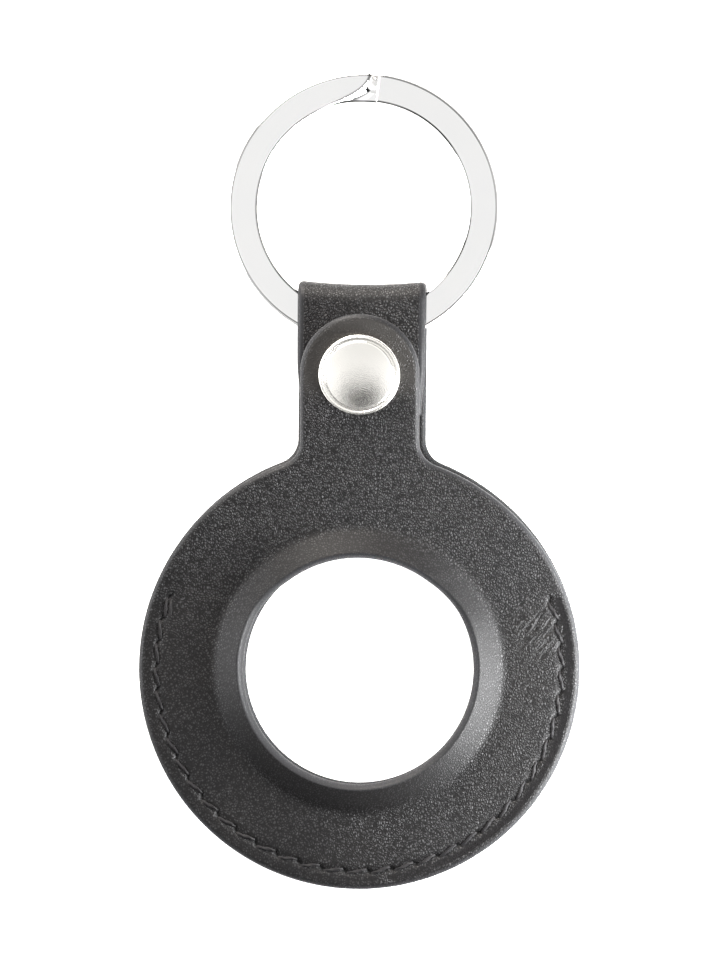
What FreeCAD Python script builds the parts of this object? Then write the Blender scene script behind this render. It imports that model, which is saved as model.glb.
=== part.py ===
"""Leather key-ring holder for a round tracker tag, lying on its back.

+X is to the right, +Y runs from the window towards the key ring and +Z comes out of the front.
The origin is the centre of the window on the flat back. Lengths are millimetres, angles degrees.
"""
import FreeCAD, Part
import math
import os

import Sketcher

Vector = FreeCAD.Vector
X_AXIS = Vector(1, 0, 0)
Z_AXIS = Vector(0, 0, 1)

# Driving dimensions: alias, size, what it measures.
DIMENSIONS = [
    ("leather", 1.2, "thickness of the leather"),
    ("disc_radius", 24.5, "outer radius of the front and back discs"),
    ("window_radius", 12.65, "clear radius of the window through both discs"),
    ("collar_slope", 36.5, "slope of the moulded collar round the window"),
    ("collar_rise", 2.0, "rise of the collar from its crease to its lip"),
    ("fold_y", 8.6, "fold line of the flap above the window centre"),
    ("fold_height", 2.7, "turning line of the flap above the back panel"),
    ("fold_gap", 0.1, "gap between flap and sewn panel at the fold"),
    ("flap_swing", 60.0, "angle that the flap opens"),
    ("fold_relief", 5.0, "extra lean of the collar's relief at the fold"),
    ("neck_fillet", 2.8, "radius where a disc runs into its tongue or strap"),
    ("tongue_width", 13.2, "width of the flap's tongue"),
    ("snap_rise", 8.4, "snap axis above the disc's edge, at the back of the tongue"),
    ("strap_width", 14.2, "width of the strap"),
    ("strap_root", 2.0, "start of the strap above the disc's edge"),
    ("strap_end", 3.7, "free end of the folded strap above the disc's edge"),
    ("strap_corner", 0.9, "inside corner radius of the strap's fold"),
    ("loop_slack", 0.6, "spare height of the loop over the key ring"),
    ("loop_room", 0.36, "spare length of the loop at each side of the key ring"),
    ("ring_foot", 3.2, "nearest edge of the key ring above the snap axis"),
    ("ring_radius", 15.0, "outer radius of the key ring"),
    ("ring_band", 3.25, "width of the key ring's flat wire"),
    ("ring_turn", 0.97, "thickness of the key ring's flat wire"),
    ("ring_gap", 0.06, "gap between the key ring's two turns"),
    ("ring_edge", 0.27, "bevel of the flat wire's edges"),
    ("ring_step", 26.0, "angle over which the wire steps to its other turn"),
    ("ring_split", 84.0, "angle of the front turn's square end"),
    ("seam_inset", 2.0, "seam line inside the disc's edge"),
    ("seam_end_gap", 0.75, "last stitch hole below the fold line"),
    ("stitch_pitch", 2.65, "spacing of the stitch holes"),
    ("stitch_skew", 0.3, "sideways lean of a stitch at its ends"),
    ("thread", 0.5, "diameter of the sewing thread"),
    ("thread_room", 0.08, "clearance round the thread"),
    ("front_sink", 0.25, "depth of the seam channel in the front"),
    ("snap_stack", 1.65, "gap held by the snap between strap and tongue"),
    ("snap_room", 0.1, "clearance in the holes for the snap's shanks"),
    ("cap_radius", 4.57, "radius of the snap's cap"),
    ("cap_height", 1.4, "height of the cap above the tongue"),
    ("cap_round", 0.95, "rounding of the cap's upper edge"),
    ("cap_shank", 1.4, "radius of the cap's shank"),
    ("curl_radius", 1.75, "radius of the shank's rolled end"),
    ("curl_height", 0.2, "height of the shank's rolled end"),
    ("socket_radius", 3.9, "outer radius of the socket"),
    ("socket_height", 1.45, "height of the socket"),
    ("socket_plate", 0.3, "plate of the socket under the tongue"),
    ("socket_lip", 0.22, "lip below the spring's groove"),
    ("groove_radius", 2.5, "radius of the spring's groove"),
    ("spring_wire", 0.44, "wire diameter of the spring"),
    ("spring_mouth", 50.0, "open angle of the spring"),
    ("spring_room", 0.03, "clearance above and below the spring"),
    ("stud_head", 1.72, "radius of the stud's head"),
    ("stud_grip", 0.1, "overhang of the stud's head over the spring"),
    ("stud_room", 0.23, "clearance between stud head and socket"),
    ("stud_neck", 1.4, "radius of the stud's neck"),
    ("stud_bore", 1.0, "radius of the stud's bore"),
    ("stud_flange", 2.6, "radius of the stud's flange"),
    ("stud_flange_height", 0.4, "thickness of the stud's flange"),
    ("stud_sink", 0.3, "depth of the flange's seat in the strap"),
    ("post_radius", 0.75, "radius of the post's shank"),
    ("post_head", 2.9, "radius of the post's head"),
    ("post_head_height", 0.45, "thickness of the post's head"),
    ("post_recess", 0.02, "depth of the post's head below the back"),
]

# Sizes that follow from the driving dimensions, in the order in which they build on each other.
FITS = [
    ("snap_y", "Dims.disc_radius + Dims.snap_rise"),
    ("strap_root_y", "Dims.disc_radius + Dims.strap_root"),
    ("strap_end_y", "Dims.disc_radius + Dims.strap_end"),
    ("ring_foot_y", "snap_y + Dims.ring_foot"),
    ("ring_y", "ring_foot_y + Dims.ring_radius"),
    ("lip_radius", "Dims.window_radius + Dims.leather * sin(Dims.collar_slope * 1 deg)"),
    ("crease_radius", "lip_radius + Dims.collar_rise / tan(Dims.collar_slope * 1 deg)"),
    ("lip_height", "Dims.leather + Dims.collar_rise"),
    ("ring_height", "2 * Dims.ring_turn + Dims.ring_gap"),
    ("ring_bore", "Dims.ring_radius - Dims.ring_band"),
    ("loop_height", "ring_height + Dims.loop_slack"),
    ("loop_top", "Dims.leather + loop_height"),
    ("strap_top", "loop_top + Dims.leather"),
    ("loop_end_y", "ring_y - sqrt(ring_bore ^ 2 - (Dims.strap_width / 2) ^ 2) + Dims.loop_room"),
    ("strap_fold_y", "loop_end_y + Dims.leather"),
    ("slope_y", "ring_foot_y - Dims.loop_room"),
    ("fold_base", "Dims.leather + Dims.fold_gap"),
    ("slope_run", "slope_y - Dims.fold_y"),
    ("slope_rise", "strap_top - fold_base"),
    ("slope_length", "sqrt(slope_run ^ 2 + slope_rise ^ 2)"),
    ("incline", "asin(Dims.snap_stack / slope_length) + atan(slope_rise / slope_run)"),
    ("strap_end_z", "strap_top - (slope_y - strap_end_y) * tan(incline)"),
    ("snap_reach", "(snap_y - Dims.fold_y) / cos(incline)"),
    ("tongue_tip", "Dims.fold_y + snap_reach + Dims.tongue_width / 2"),
    ("snap_z", "fold_base + snap_reach * sin(incline)"),
    ("seam_radius", "Dims.disc_radius - Dims.seam_inset"),
    ("seam_rise", "asin((Dims.fold_y - Dims.seam_end_gap) / seam_radius)"),
    ("seam_sweep", "180 deg + 2 * seam_rise"),
    ("stitches", "round(seam_sweep / 1 deg * pi / 180 * seam_radius / Dims.stitch_pitch)"),
    ("channel_half", "Dims.stitch_skew + Dims.thread / 2 + Dims.thread_room"),
    ("back_sink", "Dims.thread + Dims.thread_room"),
    ("socket_bore", "Dims.stud_head + Dims.stud_room"),
    ("spring_top", "Dims.socket_lip + Dims.spring_wire + 2 * Dims.spring_room - Dims.socket_height"),
    ("spring_inside", "Dims.stud_head - Dims.stud_grip"),
    ("spring_z", "spring_top - Dims.spring_room - Dims.spring_wire / 2"),
    ("curl_z", "-Dims.socket_plate - Dims.curl_height"),
    ("stud_top", "curl_z - Dims.spring_room"),
    ("stud_foot", "-Dims.snap_stack - Dims.stud_sink"),
    ("post_y", "snap_y - (stud_top + stud_foot) / 2 * sin(incline)"),
    ("post_top", "snap_z + (stud_top - Dims.snap_room) * cos(incline)"),
    ("pivot_y", "(ring_foot_y + loop_end_y) / 2"),
    ("pivot_z", "Dims.leather + loop_height / 2"),
    ("ring_reach", "ring_y + Dims.ring_radius - Dims.ring_edge - pivot_y"),
    ("ring_arm", "sqrt(ring_reach ^ 2 + ring_height ^ 2 / 4)"),
    ("ring_droop", "asin(pivot_z / ring_arm) - atan(ring_height / 2 / ring_reach)"),
]

doc = FreeCAD.newDocument("tag_holder")


def fill_sheets():
    """Write the driving dimensions and the sizes that follow from them into two sheets."""
    dims = doc.addObject("Spreadsheet::Sheet", "Dims")
    for row, (alias, size, meaning) in enumerate(DIMENSIONS, start=1):
        dims.set(f"A{row}", meaning)
        dims.set(f"B{row}", str(size))
        dims.setAlias(f"B{row}", alias)
    doc.recompute()
    fits = doc.addObject("Spreadsheet::Sheet", "Fits")
    for row, (alias, formula) in enumerate(FITS, start=1):
        fits.set(f"A{row}", alias.replace("_", " "))
        fits.setAlias(f"B{row}", alias)
        fits.set(f"B{row}", f"={formula}")
    doc.recompute()
    return dims, fits


dims_sheet, fits_sheet = fill_sheets()


def value(formula):
    """The number that a formula on the two sheets comes to."""
    result = dims_sheet.evalExpression(formula)
    return float(getattr(result, "Value", result))


def new_body(name):
    body = doc.addObject("PartDesign::Body", name)
    body.Label = name
    return body


def new_sketch(body, name, plane):
    """An empty sketch on one of the body's own origin planes."""
    sketch = body.newObject("Sketcher::SketchObject", name)
    support = [item for item in body.Origin.OriginFeatures if item.Role == plane]
    sketch.AttachmentSupport = [(support[0], "")]
    sketch.MapMode = "FlatFace"
    return sketch


def pin_point(sketch, geometry, point, corner, tag):
    """Hold one point of a sketch at the place that two formulas give."""
    for kind, axis, formula in (("DistanceX", "x", corner[0]), ("DistanceY", "y", corner[1])):
        constraint = Sketcher.Constraint(kind, -1, 1, geometry, point, value(formula))
        index = sketch.addConstraint(constraint)
        sketch.renameConstraint(index, f"{axis}{tag}")
        sketch.setExpression(f"Constraints.{axis}{tag}", formula)


def draw_polygon(sketch, corners):
    """A closed outline through corners whose coordinates are formulas."""
    points = [Vector(value(x), value(y), 0) for x, y in corners]
    lines = []
    for index, start in enumerate(points):
        end = points[(index + 1) % len(points)]
        lines.append(sketch.addGeometry(Part.LineSegment(start, end), False))
    for index, line in enumerate(lines):
        following = lines[(index + 1) % len(lines)]
        sketch.addConstraint(Sketcher.Constraint("Coincident", line, 2, following, 1))
    for line, corner in zip(lines, corners):
        pin_point(sketch, line, 1, corner, line)


def draw_circle(sketch, x, y, radius):
    """A circle whose centre and radius are formulas."""
    centre = Vector(value(x), value(y), 0)
    circle = sketch.addGeometry(Part.Circle(centre, Z_AXIS, value(radius)), False)
    pin_point(sketch, circle, 3, (x, y), circle)
    index = sketch.addConstraint(Sketcher.Constraint("Radius", circle, value(radius)))
    sketch.renameConstraint(index, f"radius{circle}")
    sketch.setExpression(f"Constraints.radius{circle}", radius)


def rectangle(left, bottom, right, top):
    return [(left, bottom), (right, bottom), (right, top), (left, top)]


def pad(body, sketch, length, symmetric=False):
    feature = body.newObject("PartDesign::Pad", f"{sketch.Name}_pad")
    feature.Profile = sketch
    feature.SideType = "Symmetric" if symmetric else "One side"
    feature.setExpression("Length", length)
    doc.recompute()
    return feature


def revolve(body, sketch, angle="360 deg", reverse=False):
    """Turn a sketch about its own vertical axis."""
    feature = body.newObject("PartDesign::Revolution", f"{sketch.Name}_turn")
    feature.Profile = sketch
    feature.ReferenceAxis = (sketch, ["V_Axis"])
    feature.Reversed = reverse
    feature.setExpression("Angle", angle)
    doc.recompute()
    return feature


def checked_cut(body, feature, before):
    """Stop if a cut took nothing off its body."""
    doc.recompute()
    if not body.Shape.Volume < before - 1e-6:
        raise RuntimeError(f"{feature.Name} cuts nothing")
    return feature


def pocket(body, sketch, length, symmetric=False, upward=False):
    before = body.Shape.Volume
    feature = body.newObject("PartDesign::Pocket", f"{sketch.Name}_cut")
    feature.Profile = sketch
    feature.SideType = "Symmetric" if symmetric else "One side"
    feature.Reversed = upward
    feature.setExpression("Length", length)
    return checked_cut(body, feature, before)


def upright_hole(body, name, x, y, radius, depth):
    """A round hole from the body's base plane upwards."""
    sketch = new_sketch(body, name, "XY_Plane")
    draw_circle(sketch, x, y, radius)
    return pocket(body, sketch, depth, upward=True)


def cut_across(body, name, corners):
    """Cut a side view outline through the whole width of a body."""
    sketch = new_sketch(body, name, "YZ_Plane")
    draw_polygon(sketch, corners)
    return pocket(body, sketch, "4 * Dims.disc_radius", symmetric=True)


def upright_edges(shape, x, y):
    """Names of the upright edges that stand at plus and minus x, and at y."""
    names = []
    for index, edge in enumerate(shape.Edges, start=1):
        middle = edge.CenterOfMass
        run = edge.Vertexes[-1].Point - edge.Vertexes[0].Point
        upright = math.hypot(run.x, run.y) < 1e-6 and abs(run.z) > 1e-6
        if upright and abs(abs(middle.x) - x) < 1e-3 and abs(middle.y - y) < 1e-3:
            names.append(f"Edge{index}")
    return names


def round_edges(body, name, edges, radius):
    base = body.Tip
    feature = body.newObject("PartDesign::Fillet", name)
    feature.Base = (base, edges)
    feature.setExpression("Radius", radius)
    doc.recompute()
    return feature


def round_neck(body, name, width):
    """Fillet the two corners where a strip of this width leaves the disc."""
    side = value(f"{width} / 2")
    corner_y = math.sqrt(value("Dims.disc_radius") ** 2 - side ** 2)
    edges = upright_edges(body.Tip.Shape, side, corner_y)
    return round_edges(body, name, edges, "Dims.neck_fillet")


def sew_holes(body, name, depth):
    """A row of stitch holes along the seam, from the right end round the bottom to the left."""
    sketch = new_sketch(body, name, "XY_Plane")
    across = "Fits.seam_radius * cos(Fits.seam_rise)"
    along = "Fits.seam_radius * sin(Fits.seam_rise)"
    draw_circle(sketch, across, along, "Dims.thread / 2 + Dims.thread_room")
    first = pocket(body, sketch, depth, upward=True)
    before = body.Shape.Volume
    row = body.newObject("PartDesign::PolarPattern", f"{name}_row")
    row.Originals = [first]
    row.Axis = (sketch, ["N_Axis"])
    row.Reversed = True
    row.setExpression("Angle", "Fits.seam_sweep")
    row.setExpression("Occurrences", "Fits.stitches + 1")
    body.Tip = row
    return checked_cut(body, row, before)


def sew_channel(body, name, low, high):
    """A shallow channel along the seam, between two heights."""
    before = body.Shape.Volume
    sketch = new_sketch(body, name, "YZ_Plane")
    outer = "-(Fits.seam_radius + Fits.channel_half)"
    inner = "-(Fits.seam_radius - Fits.channel_half)"
    draw_polygon(sketch, rectangle(outer, low, inner, high))
    groove = body.newObject("PartDesign::Groove", f"{name}_cut")
    groove.Profile = sketch
    groove.ReferenceAxis = (sketch, ["V_Axis"])
    groove.Midplane = True
    groove.setExpression("Angle", "Fits.seam_sweep + 2 * Fits.channel_half / Fits.seam_radius * 1 rad")
    return checked_cut(body, groove, before)


def draw_panel_section(sketch):
    """Half section of the front leather: flat margin, crease and collar, with its cut edge square."""
    slope = "(Dims.collar_slope * 1 deg)"
    under_crease = f"Fits.crease_radius - Dims.leather * tan({slope} / 2)"
    under_lip = f"Fits.lip_height - Dims.leather * cos({slope})"
    draw_polygon(sketch, [
        (under_crease, "0"),
        ("Dims.disc_radius", "0"),
        ("Dims.disc_radius", "Dims.leather"),
        ("Fits.crease_radius", "Dims.leather"),
        ("Fits.lip_radius", "Fits.lip_height"),
        ("Dims.window_radius", under_lip),
    ])


def flap_frame(y, z):
    """Placement that lifts a piece drawn flat on the tongue's back to the flap's incline."""
    turn = FreeCAD.Rotation(X_AXIS, value("Fits.incline"))
    hinge = Vector(0, value("Dims.fold_y"), value("Fits.fold_base"))
    return FreeCAD.Placement(hinge + turn.multVec(Vector(0, y, z)), turn)


def snap_frame():
    """Placement of a snap piece drawn about its own axis, with zero height at the tongue's back."""
    return flap_frame(value("Fits.snap_reach"), 0)


def make_back_panel():
    """Flat back disc with the window, the neck of its strap, and the lower thread's channel."""
    body = new_body("back_panel")
    disc = new_sketch(body, "back_disc", "XY_Plane")
    draw_circle(disc, "0", "0", "Dims.disc_radius")
    draw_circle(disc, "0", "0", "Dims.window_radius")
    pad(body, disc, "Dims.leather")
    neck = new_sketch(body, "back_neck", "XY_Plane")
    root = "(Dims.window_radius + Dims.disc_radius) / 2"
    sides = rectangle("-Dims.strap_width / 2", root, "Dims.strap_width / 2", "Fits.strap_root_y")
    draw_polygon(neck, sides)
    pad(body, neck, "Dims.leather")
    round_neck(body, "back_neck_fillet", "Dims.strap_width")
    sew_channel(body, "back_channel", "-Dims.leather", "Fits.back_sink")
    sew_holes(body, "back_holes", "Dims.leather")
    return body


def make_front_panel():
    """Sewn lower part of the front leather, with its share of the collar."""
    body = new_body("front_panel")
    section = new_sketch(body, "front_section", "XZ_Plane")
    draw_panel_section(section)
    revolve(body, section)
    above = rectangle("Dims.fold_y", "-Dims.leather", "2 * Dims.disc_radius", "2 * Fits.lip_height")
    cut_across(body, "front_fold", above)
    sew_channel(body, "front_channel", "Dims.leather - Dims.front_sink", "2 * Dims.leather")
    sew_holes(body, "front_holes", "Dims.leather")
    body.Placement.Base = Vector(0, 0, value("Dims.leather"))
    return body


def make_front_flap():
    """Loose upper part of the front leather, with its share of the collar and the tongue."""
    body = new_body("front_flap")
    section = new_sketch(body, "flap_section", "XZ_Plane")
    draw_panel_section(section)
    revolve(body, section)
    tongue = new_sketch(body, "flap_tongue", "XY_Plane")
    root = "(Fits.crease_radius + Dims.disc_radius) / 2"
    sides = rectangle("-Dims.tongue_width / 2", root, "Dims.tongue_width / 2", "Fits.tongue_tip")
    draw_polygon(tongue, sides)
    pad(body, tongue, "Dims.leather")
    round_neck(body, "flap_neck_fillet", "Dims.tongue_width")
    half_width = value("Dims.tongue_width / 2")
    tip_edges = upright_edges(body.Tip.Shape, half_width, value("Fits.tongue_tip"))
    round_edges(body, "flap_tip_round", tip_edges, "0.499 * Dims.tongue_width")
    upright_hole(body, "flap_hole", "0", "Dims.fold_y + Fits.snap_reach",
                 "Dims.cap_shank + Dims.snap_room", "Dims.leather")
    # Upright at rest up to the turning line, and above it leaning clear of the full swing.
    lean = "(Fits.incline + (Dims.flap_swing + Dims.fold_relief) * 1 deg)"
    edge = "Dims.fold_y + Dims.fold_gap"
    turn_height = "(Dims.fold_height - Dims.fold_gap)"
    turn_y = f"{edge} + {turn_height} * sin(Fits.incline)"
    turn_z = f"{turn_height} * cos(Fits.incline)"
    cut_across(body, "flap_fold", [
        ("-2 * Dims.disc_radius", "-Dims.leather"),
        (f"{edge} - Dims.leather * tan(Fits.incline)", "-Dims.leather"),
        (turn_y, turn_z),
        (f"{turn_y} + Dims.collar_rise * tan({lean})", f"{turn_z} + Dims.collar_rise"),
        ("-2 * Dims.disc_radius", f"{turn_z} + Dims.collar_rise"),
    ])
    body.Placement = flap_frame(-value("Dims.fold_y"), 0)
    return body


def make_strap_loop():
    """Strap that runs up the back, folds over the key ring and comes down under the tongue."""
    body = new_body("strap_loop")
    side_view = new_sketch(body, "strap_side", "YZ_Plane")
    draw_polygon(side_view, [
        ("Fits.strap_root_y", "0"),
        ("Fits.strap_fold_y", "0"),
        ("Fits.strap_fold_y", "Fits.strap_top"),
        ("Fits.slope_y", "Fits.strap_top"),
        ("Fits.strap_end_y", "Fits.strap_end_z"),
        ("Fits.strap_end_y + Dims.leather * sin(Fits.incline)",
         "Fits.strap_end_z - Dims.leather * cos(Fits.incline)"),
        ("Fits.slope_y + Dims.leather * tan(Fits.incline / 2)", "Fits.loop_top"),
        ("Fits.loop_end_y", "Fits.loop_top"),
        ("Fits.loop_end_y", "Dims.leather"),
        ("Fits.strap_root_y", "Dims.leather"),
    ])
    pad(body, side_view, "Dims.strap_width", symmetric=True)
    inner = fold_edges(body.Tip.Shape, value("Fits.loop_end_y"))
    round_edges(body, "strap_inner_fold", inner, "Dims.strap_corner")
    outer = fold_edges(body.Tip.Shape, value("Fits.strap_fold_y"))
    round_edges(body, "strap_outer_fold", outer, "Dims.strap_corner + Dims.leather")
    upright_hole(body, "strap_post_hole", "0", "Fits.post_y",
                 "Dims.post_radius + Dims.snap_room", "Fits.strap_top")
    upright_hole(body, "strap_head_seat", "0", "Fits.post_y",
                 "Dims.post_head + Dims.snap_room / 2", "Dims.post_head_height + Dims.post_recess")
    seat = new_sketch(body, "strap_stud_seat", "XY_Plane")
    draw_circle(seat, "0", "0", "Dims.stud_flange + Dims.snap_room / 2")
    frame = snap_frame()
    foot = frame.multVec(Vector(0, 0, value("Fits.stud_foot")))
    seat.AttachmentOffset = FreeCAD.Placement(foot, frame.Rotation)
    pocket(body, seat, "Dims.leather", upward=True)
    return body


def fold_edges(shape, y):
    """Names of the long sideways edges at one end of the strap's fold."""
    names = []
    for index, edge in enumerate(shape.Edges, start=1):
        middle = edge.CenterOfMass
        run = edge.Vertexes[-1].Point - edge.Vertexes[0].Point
        sideways = abs(run.x) > 1e-3 and math.hypot(run.y, run.z) < 1e-6
        if sideways and abs(middle.y - y) < 1e-3:
            names.append(f"Edge{index}")
    return names


def draw_wire_section(sketch, level):
    """Bevelled section of the key ring's flat wire, whose lower face is at the level."""
    inside = "Fits.ring_bore"
    outside = "Dims.ring_radius"
    bevel = "Dims.ring_edge"
    top = f"{level} + Dims.ring_turn"
    draw_polygon(sketch, [
        (f"{inside} + {bevel}", level),
        (f"{outside} - {bevel}", level),
        (outside, f"{level} + {bevel}"),
        (outside, f"{top} - {bevel}"),
        (f"{outside} - {bevel}", top),
        (f"{inside} + {bevel}", top),
        (inside, f"{top} - {bevel}"),
        (inside, f"{level} + {bevel}"),
    ])


def make_key_ring():
    """Split ring: two turns of flat wire that step into each other at the top."""
    body = new_body("key_ring")
    front_level = "Dims.ring_gap / 2"
    back_level = "-Dims.ring_gap / 2 - Dims.ring_turn"
    middle_level = "-Dims.ring_turn / 2"
    full = "360 deg - Dims.ring_step * 1 deg"

    def section(name, level, angle):
        sketch = new_sketch(body, name, "XZ_Plane")
        draw_wire_section(sketch, level)
        sketch.AttachmentOffset.Rotation = FreeCAD.Rotation(Vector(0, 1, 0), angle)
        doc.recompute()
        return sketch

    step = value("Dims.ring_step")
    front = section("ring_front", front_level, 0)
    revolve(body, front, full, reverse=True)
    ramp = body.newObject("PartDesign::AdditiveLoft", "ring_ramp")
    ramp.Profile = section("ring_ramp_high", front_level, step)
    halfway = section("ring_ramp_middle", middle_level, step / 2)
    ramp.Sections = [halfway, section("ring_ramp_low", back_level, 0)]
    ramp.Ruled = True
    doc.recompute()
    back = section("ring_back", back_level, 0)
    revolve(body, back, full, reverse=True)

    droop = FreeCAD.Rotation(X_AXIS, -value("Fits.ring_droop"))
    split = FreeCAD.Rotation(Z_AXIS, value("Dims.ring_split"))
    pivot = Vector(0, value("Fits.pivot_y"), value("Fits.pivot_z"))
    reach = Vector(0, value("Fits.ring_y - Fits.pivot_y"), 0)
    body.Placement = FreeCAD.Placement(pivot + droop.multVec(reach), droop.multiply(split))
    return body


def make_snap_cap():
    """Domed cap on the tongue's face, whose shank is rolled over under the socket's plate."""
    body = new_body("snap_cap")
    section = new_sketch(body, "cap_section", "XZ_Plane")
    cap_top = "Dims.leather + Dims.cap_height"
    draw_polygon(section, [
        ("0", "Fits.curl_z"),
        ("Dims.curl_radius", "Fits.curl_z"),
        ("Dims.curl_radius", "-Dims.socket_plate"),
        ("Dims.cap_shank", "-Dims.socket_plate"),
        ("Dims.cap_shank", "Dims.leather"),
        ("Dims.cap_radius", "Dims.leather"),
        ("Dims.cap_radius", cap_top),
        ("0", cap_top),
    ])
    revolve(body, section)
    rim = []
    for index, edge in enumerate(body.Tip.Shape.Edges, start=1):
        if len(edge.Vertexes) == 1 and abs(edge.CenterOfMass.z - value(cap_top)) < 1e-3:
            rim.append(f"Edge{index}")
    round_edges(body, "cap_rim", rim, "Dims.cap_round")
    body.Placement = snap_frame()
    return body


def make_snap_socket():
    """Socket under the tongue, with a groove inside for the spring."""
    body = new_body("snap_socket")
    section = new_sketch(body, "socket_section", "XZ_Plane")
    hole = "Dims.cap_shank + Dims.snap_room / 2"
    foot = "-Dims.socket_height"
    lip = "Dims.socket_lip - Dims.socket_height"
    draw_polygon(section, [
        (hole, "-Dims.socket_plate"),
        ("Fits.socket_bore", "-Dims.socket_plate"),
        ("Fits.socket_bore", "Fits.spring_top"),
        ("Dims.groove_radius", "Fits.spring_top"),
        ("Dims.groove_radius", lip),
        ("Fits.socket_bore", lip),
        ("Fits.socket_bore", foot),
        ("Dims.socket_radius", foot),
        ("Dims.socket_radius", "0"),
        (hole, "0"),
    ])
    revolve(body, section)
    body.Placement = snap_frame()
    return body


def make_socket_spring():
    """Open wire ring in the socket's groove, which grips the stud under its head."""
    body = new_body("socket_spring")
    section = new_sketch(body, "spring_section", "XZ_Plane")
    draw_circle(section, "Fits.spring_inside + Dims.spring_wire / 2", "Fits.spring_z", "Dims.spring_wire / 2")
    revolve(body, section, "360 deg - Dims.spring_mouth * 1 deg")
    body.Placement = snap_frame()
    return body


def make_snap_stud():
    """Stud on the strap, with a flange let into the leather and a head that the spring grips."""
    body = new_body("snap_stud")
    section = new_sketch(body, "stud_section", "XZ_Plane")
    flange_top = "Fits.stud_foot + Dims.stud_flange_height"
    draw_polygon(section, [
        ("Dims.stud_bore", "Fits.stud_foot"),
        ("Dims.stud_flange", "Fits.stud_foot"),
        ("Dims.stud_flange", flange_top),
        ("Dims.stud_neck", flange_top),
        ("Dims.stud_neck", "Fits.spring_top"),
        ("Dims.stud_head", "Fits.spring_top"),
        ("Dims.stud_head", "Fits.stud_top"),
        ("Dims.stud_bore", "Fits.stud_top"),
    ])
    revolve(body, section)
    body.Placement = snap_frame()
    return body


def make_snap_post():
    """Rivet from the back, through both layers of the strap and into the stud."""
    body = new_body("snap_post")
    section = new_sketch(body, "post_section", "XZ_Plane")
    head_top = "Dims.post_recess + Dims.post_head_height"
    draw_polygon(section, [
        ("0", "Dims.post_recess"),
        ("Dims.post_head", "Dims.post_recess"),
        ("Dims.post_head", head_top),
        ("Dims.post_radius", head_top),
        ("Dims.post_radius", "Fits.post_top"),
        ("0", "Fits.post_top"),
    ])
    revolve(body, section)
    body.Placement.Base = Vector(0, value("Fits.post_y"), 0)
    return body


def stitch_bar(start, end, radius):
    """One stitch on the surface: a length of thread with round ends."""
    run = end - start
    bar = Part.makeCylinder(radius, run.Length, start, run)
    return bar.fuse([Part.makeSphere(radius, start), Part.makeSphere(radius, end)])


def make_thread(name, bar_z, lean):
    """Row of slanted stitches at one height, with a leg in each hole down to the lock of the seam."""
    radius = value("Dims.thread / 2")
    seam = value("Fits.seam_radius")
    skew = lean * value("Dims.stitch_skew")
    count = round(value("Fits.stitches"))
    sweep = math.radians(value("Fits.seam_sweep"))
    first = math.radians(value("Fits.seam_rise"))
    lock_z = value("Dims.leather")

    def place(hole, offset, z):
        angle = first - sweep * hole / count
        return Vector((seam + offset) * math.cos(angle), (seam + offset) * math.sin(angle), z)

    pieces = []
    for hole in range(count + 1):
        leg = Vector(0, 0, bar_z - lock_z)
        pieces.append(Part.makeCylinder(radius, abs(leg.z), place(hole, 0, lock_z), leg))
    for hole in range(count):
        pieces.append(stitch_bar(place(hole, skew, bar_z), place(hole + 1, -skew, bar_z), radius))
    thread = doc.addObject("Part::Feature", name)
    thread.Label = name
    thread.Shape = pieces[0].multiFuse(pieces[1:])
    return thread


def make_threads():
    """Upper thread half sunk in the front's channel, lower thread flush in the back's channel."""
    half = value("Dims.thread / 2")
    front_z = value("2 * Dims.leather - Dims.front_sink") + half
    back_z = value("Dims.thread_room / 2") + half
    return [make_thread("needle_thread", front_z, -1), make_thread("bobbin_thread", back_z, 1)]


def report_failures(pieces):
    """Stop before writing if any object failed or any piece is not one sound solid."""
    doc.recompute()
    for item in doc.Objects:
        if "Invalid" in item.State or "Error" in item.State:
            raise RuntimeError(f"{item.Name} failed: {item.State}")
    for piece in pieces:
        if piece.Shape.isNull() or not piece.Shape.isValid():
            raise RuntimeError(f"{piece.Label} has no sound shape")


def main():
    pieces = [
        make_back_panel(),
        make_front_panel(),
        make_front_flap(),
        make_strap_loop(),
        make_key_ring(),
        make_snap_cap(),
        make_snap_socket(),
        make_socket_spring(),
        make_snap_stud(),
        make_snap_post(),
    ]
    pieces += make_threads()
    report_failures(pieces)
    os.makedirs("parts", exist_ok=True)
    for piece in pieces:
        piece.Shape.exportStep(f"parts/{piece.Label}.step")
        box = piece.Shape.BoundBox
        print(f"{piece.Label:14s} solids {len(piece.Shape.Solids)} volume {piece.Shape.Volume:8.2f} "
              f"y {box.YMin:6.2f} to {box.YMax:6.2f} z {box.ZMin:6.3f} to {box.ZMax:6.3f}")
    for name in ("incline", "ring_droop", "pivot_y", "pivot_z", "snap_z", "stitches"):
        print(f"{name} {value('Fits.' + name):.4f}")


main()
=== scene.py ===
# %% [markdown]
# # A leather holder for a round tracker tag
#
# The real object is two pieces of black leather sewn together round the lower part of a disc, with a
# moulded collar round a window. The front leather ends in a tongue with a snap, and the back leather ends
# in a strap that folds over a flat split ring. The CAD model says where everything is and how it moves.
# This lesson dresses it: each piece is built in mesh code in the CAD model's own place, and each finish is
# made of nodes.

# %% Load the CAD model as the frame
import math

import bmesh
import bpy
import numpy as np
from mathutils import Matrix, Vector


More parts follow.
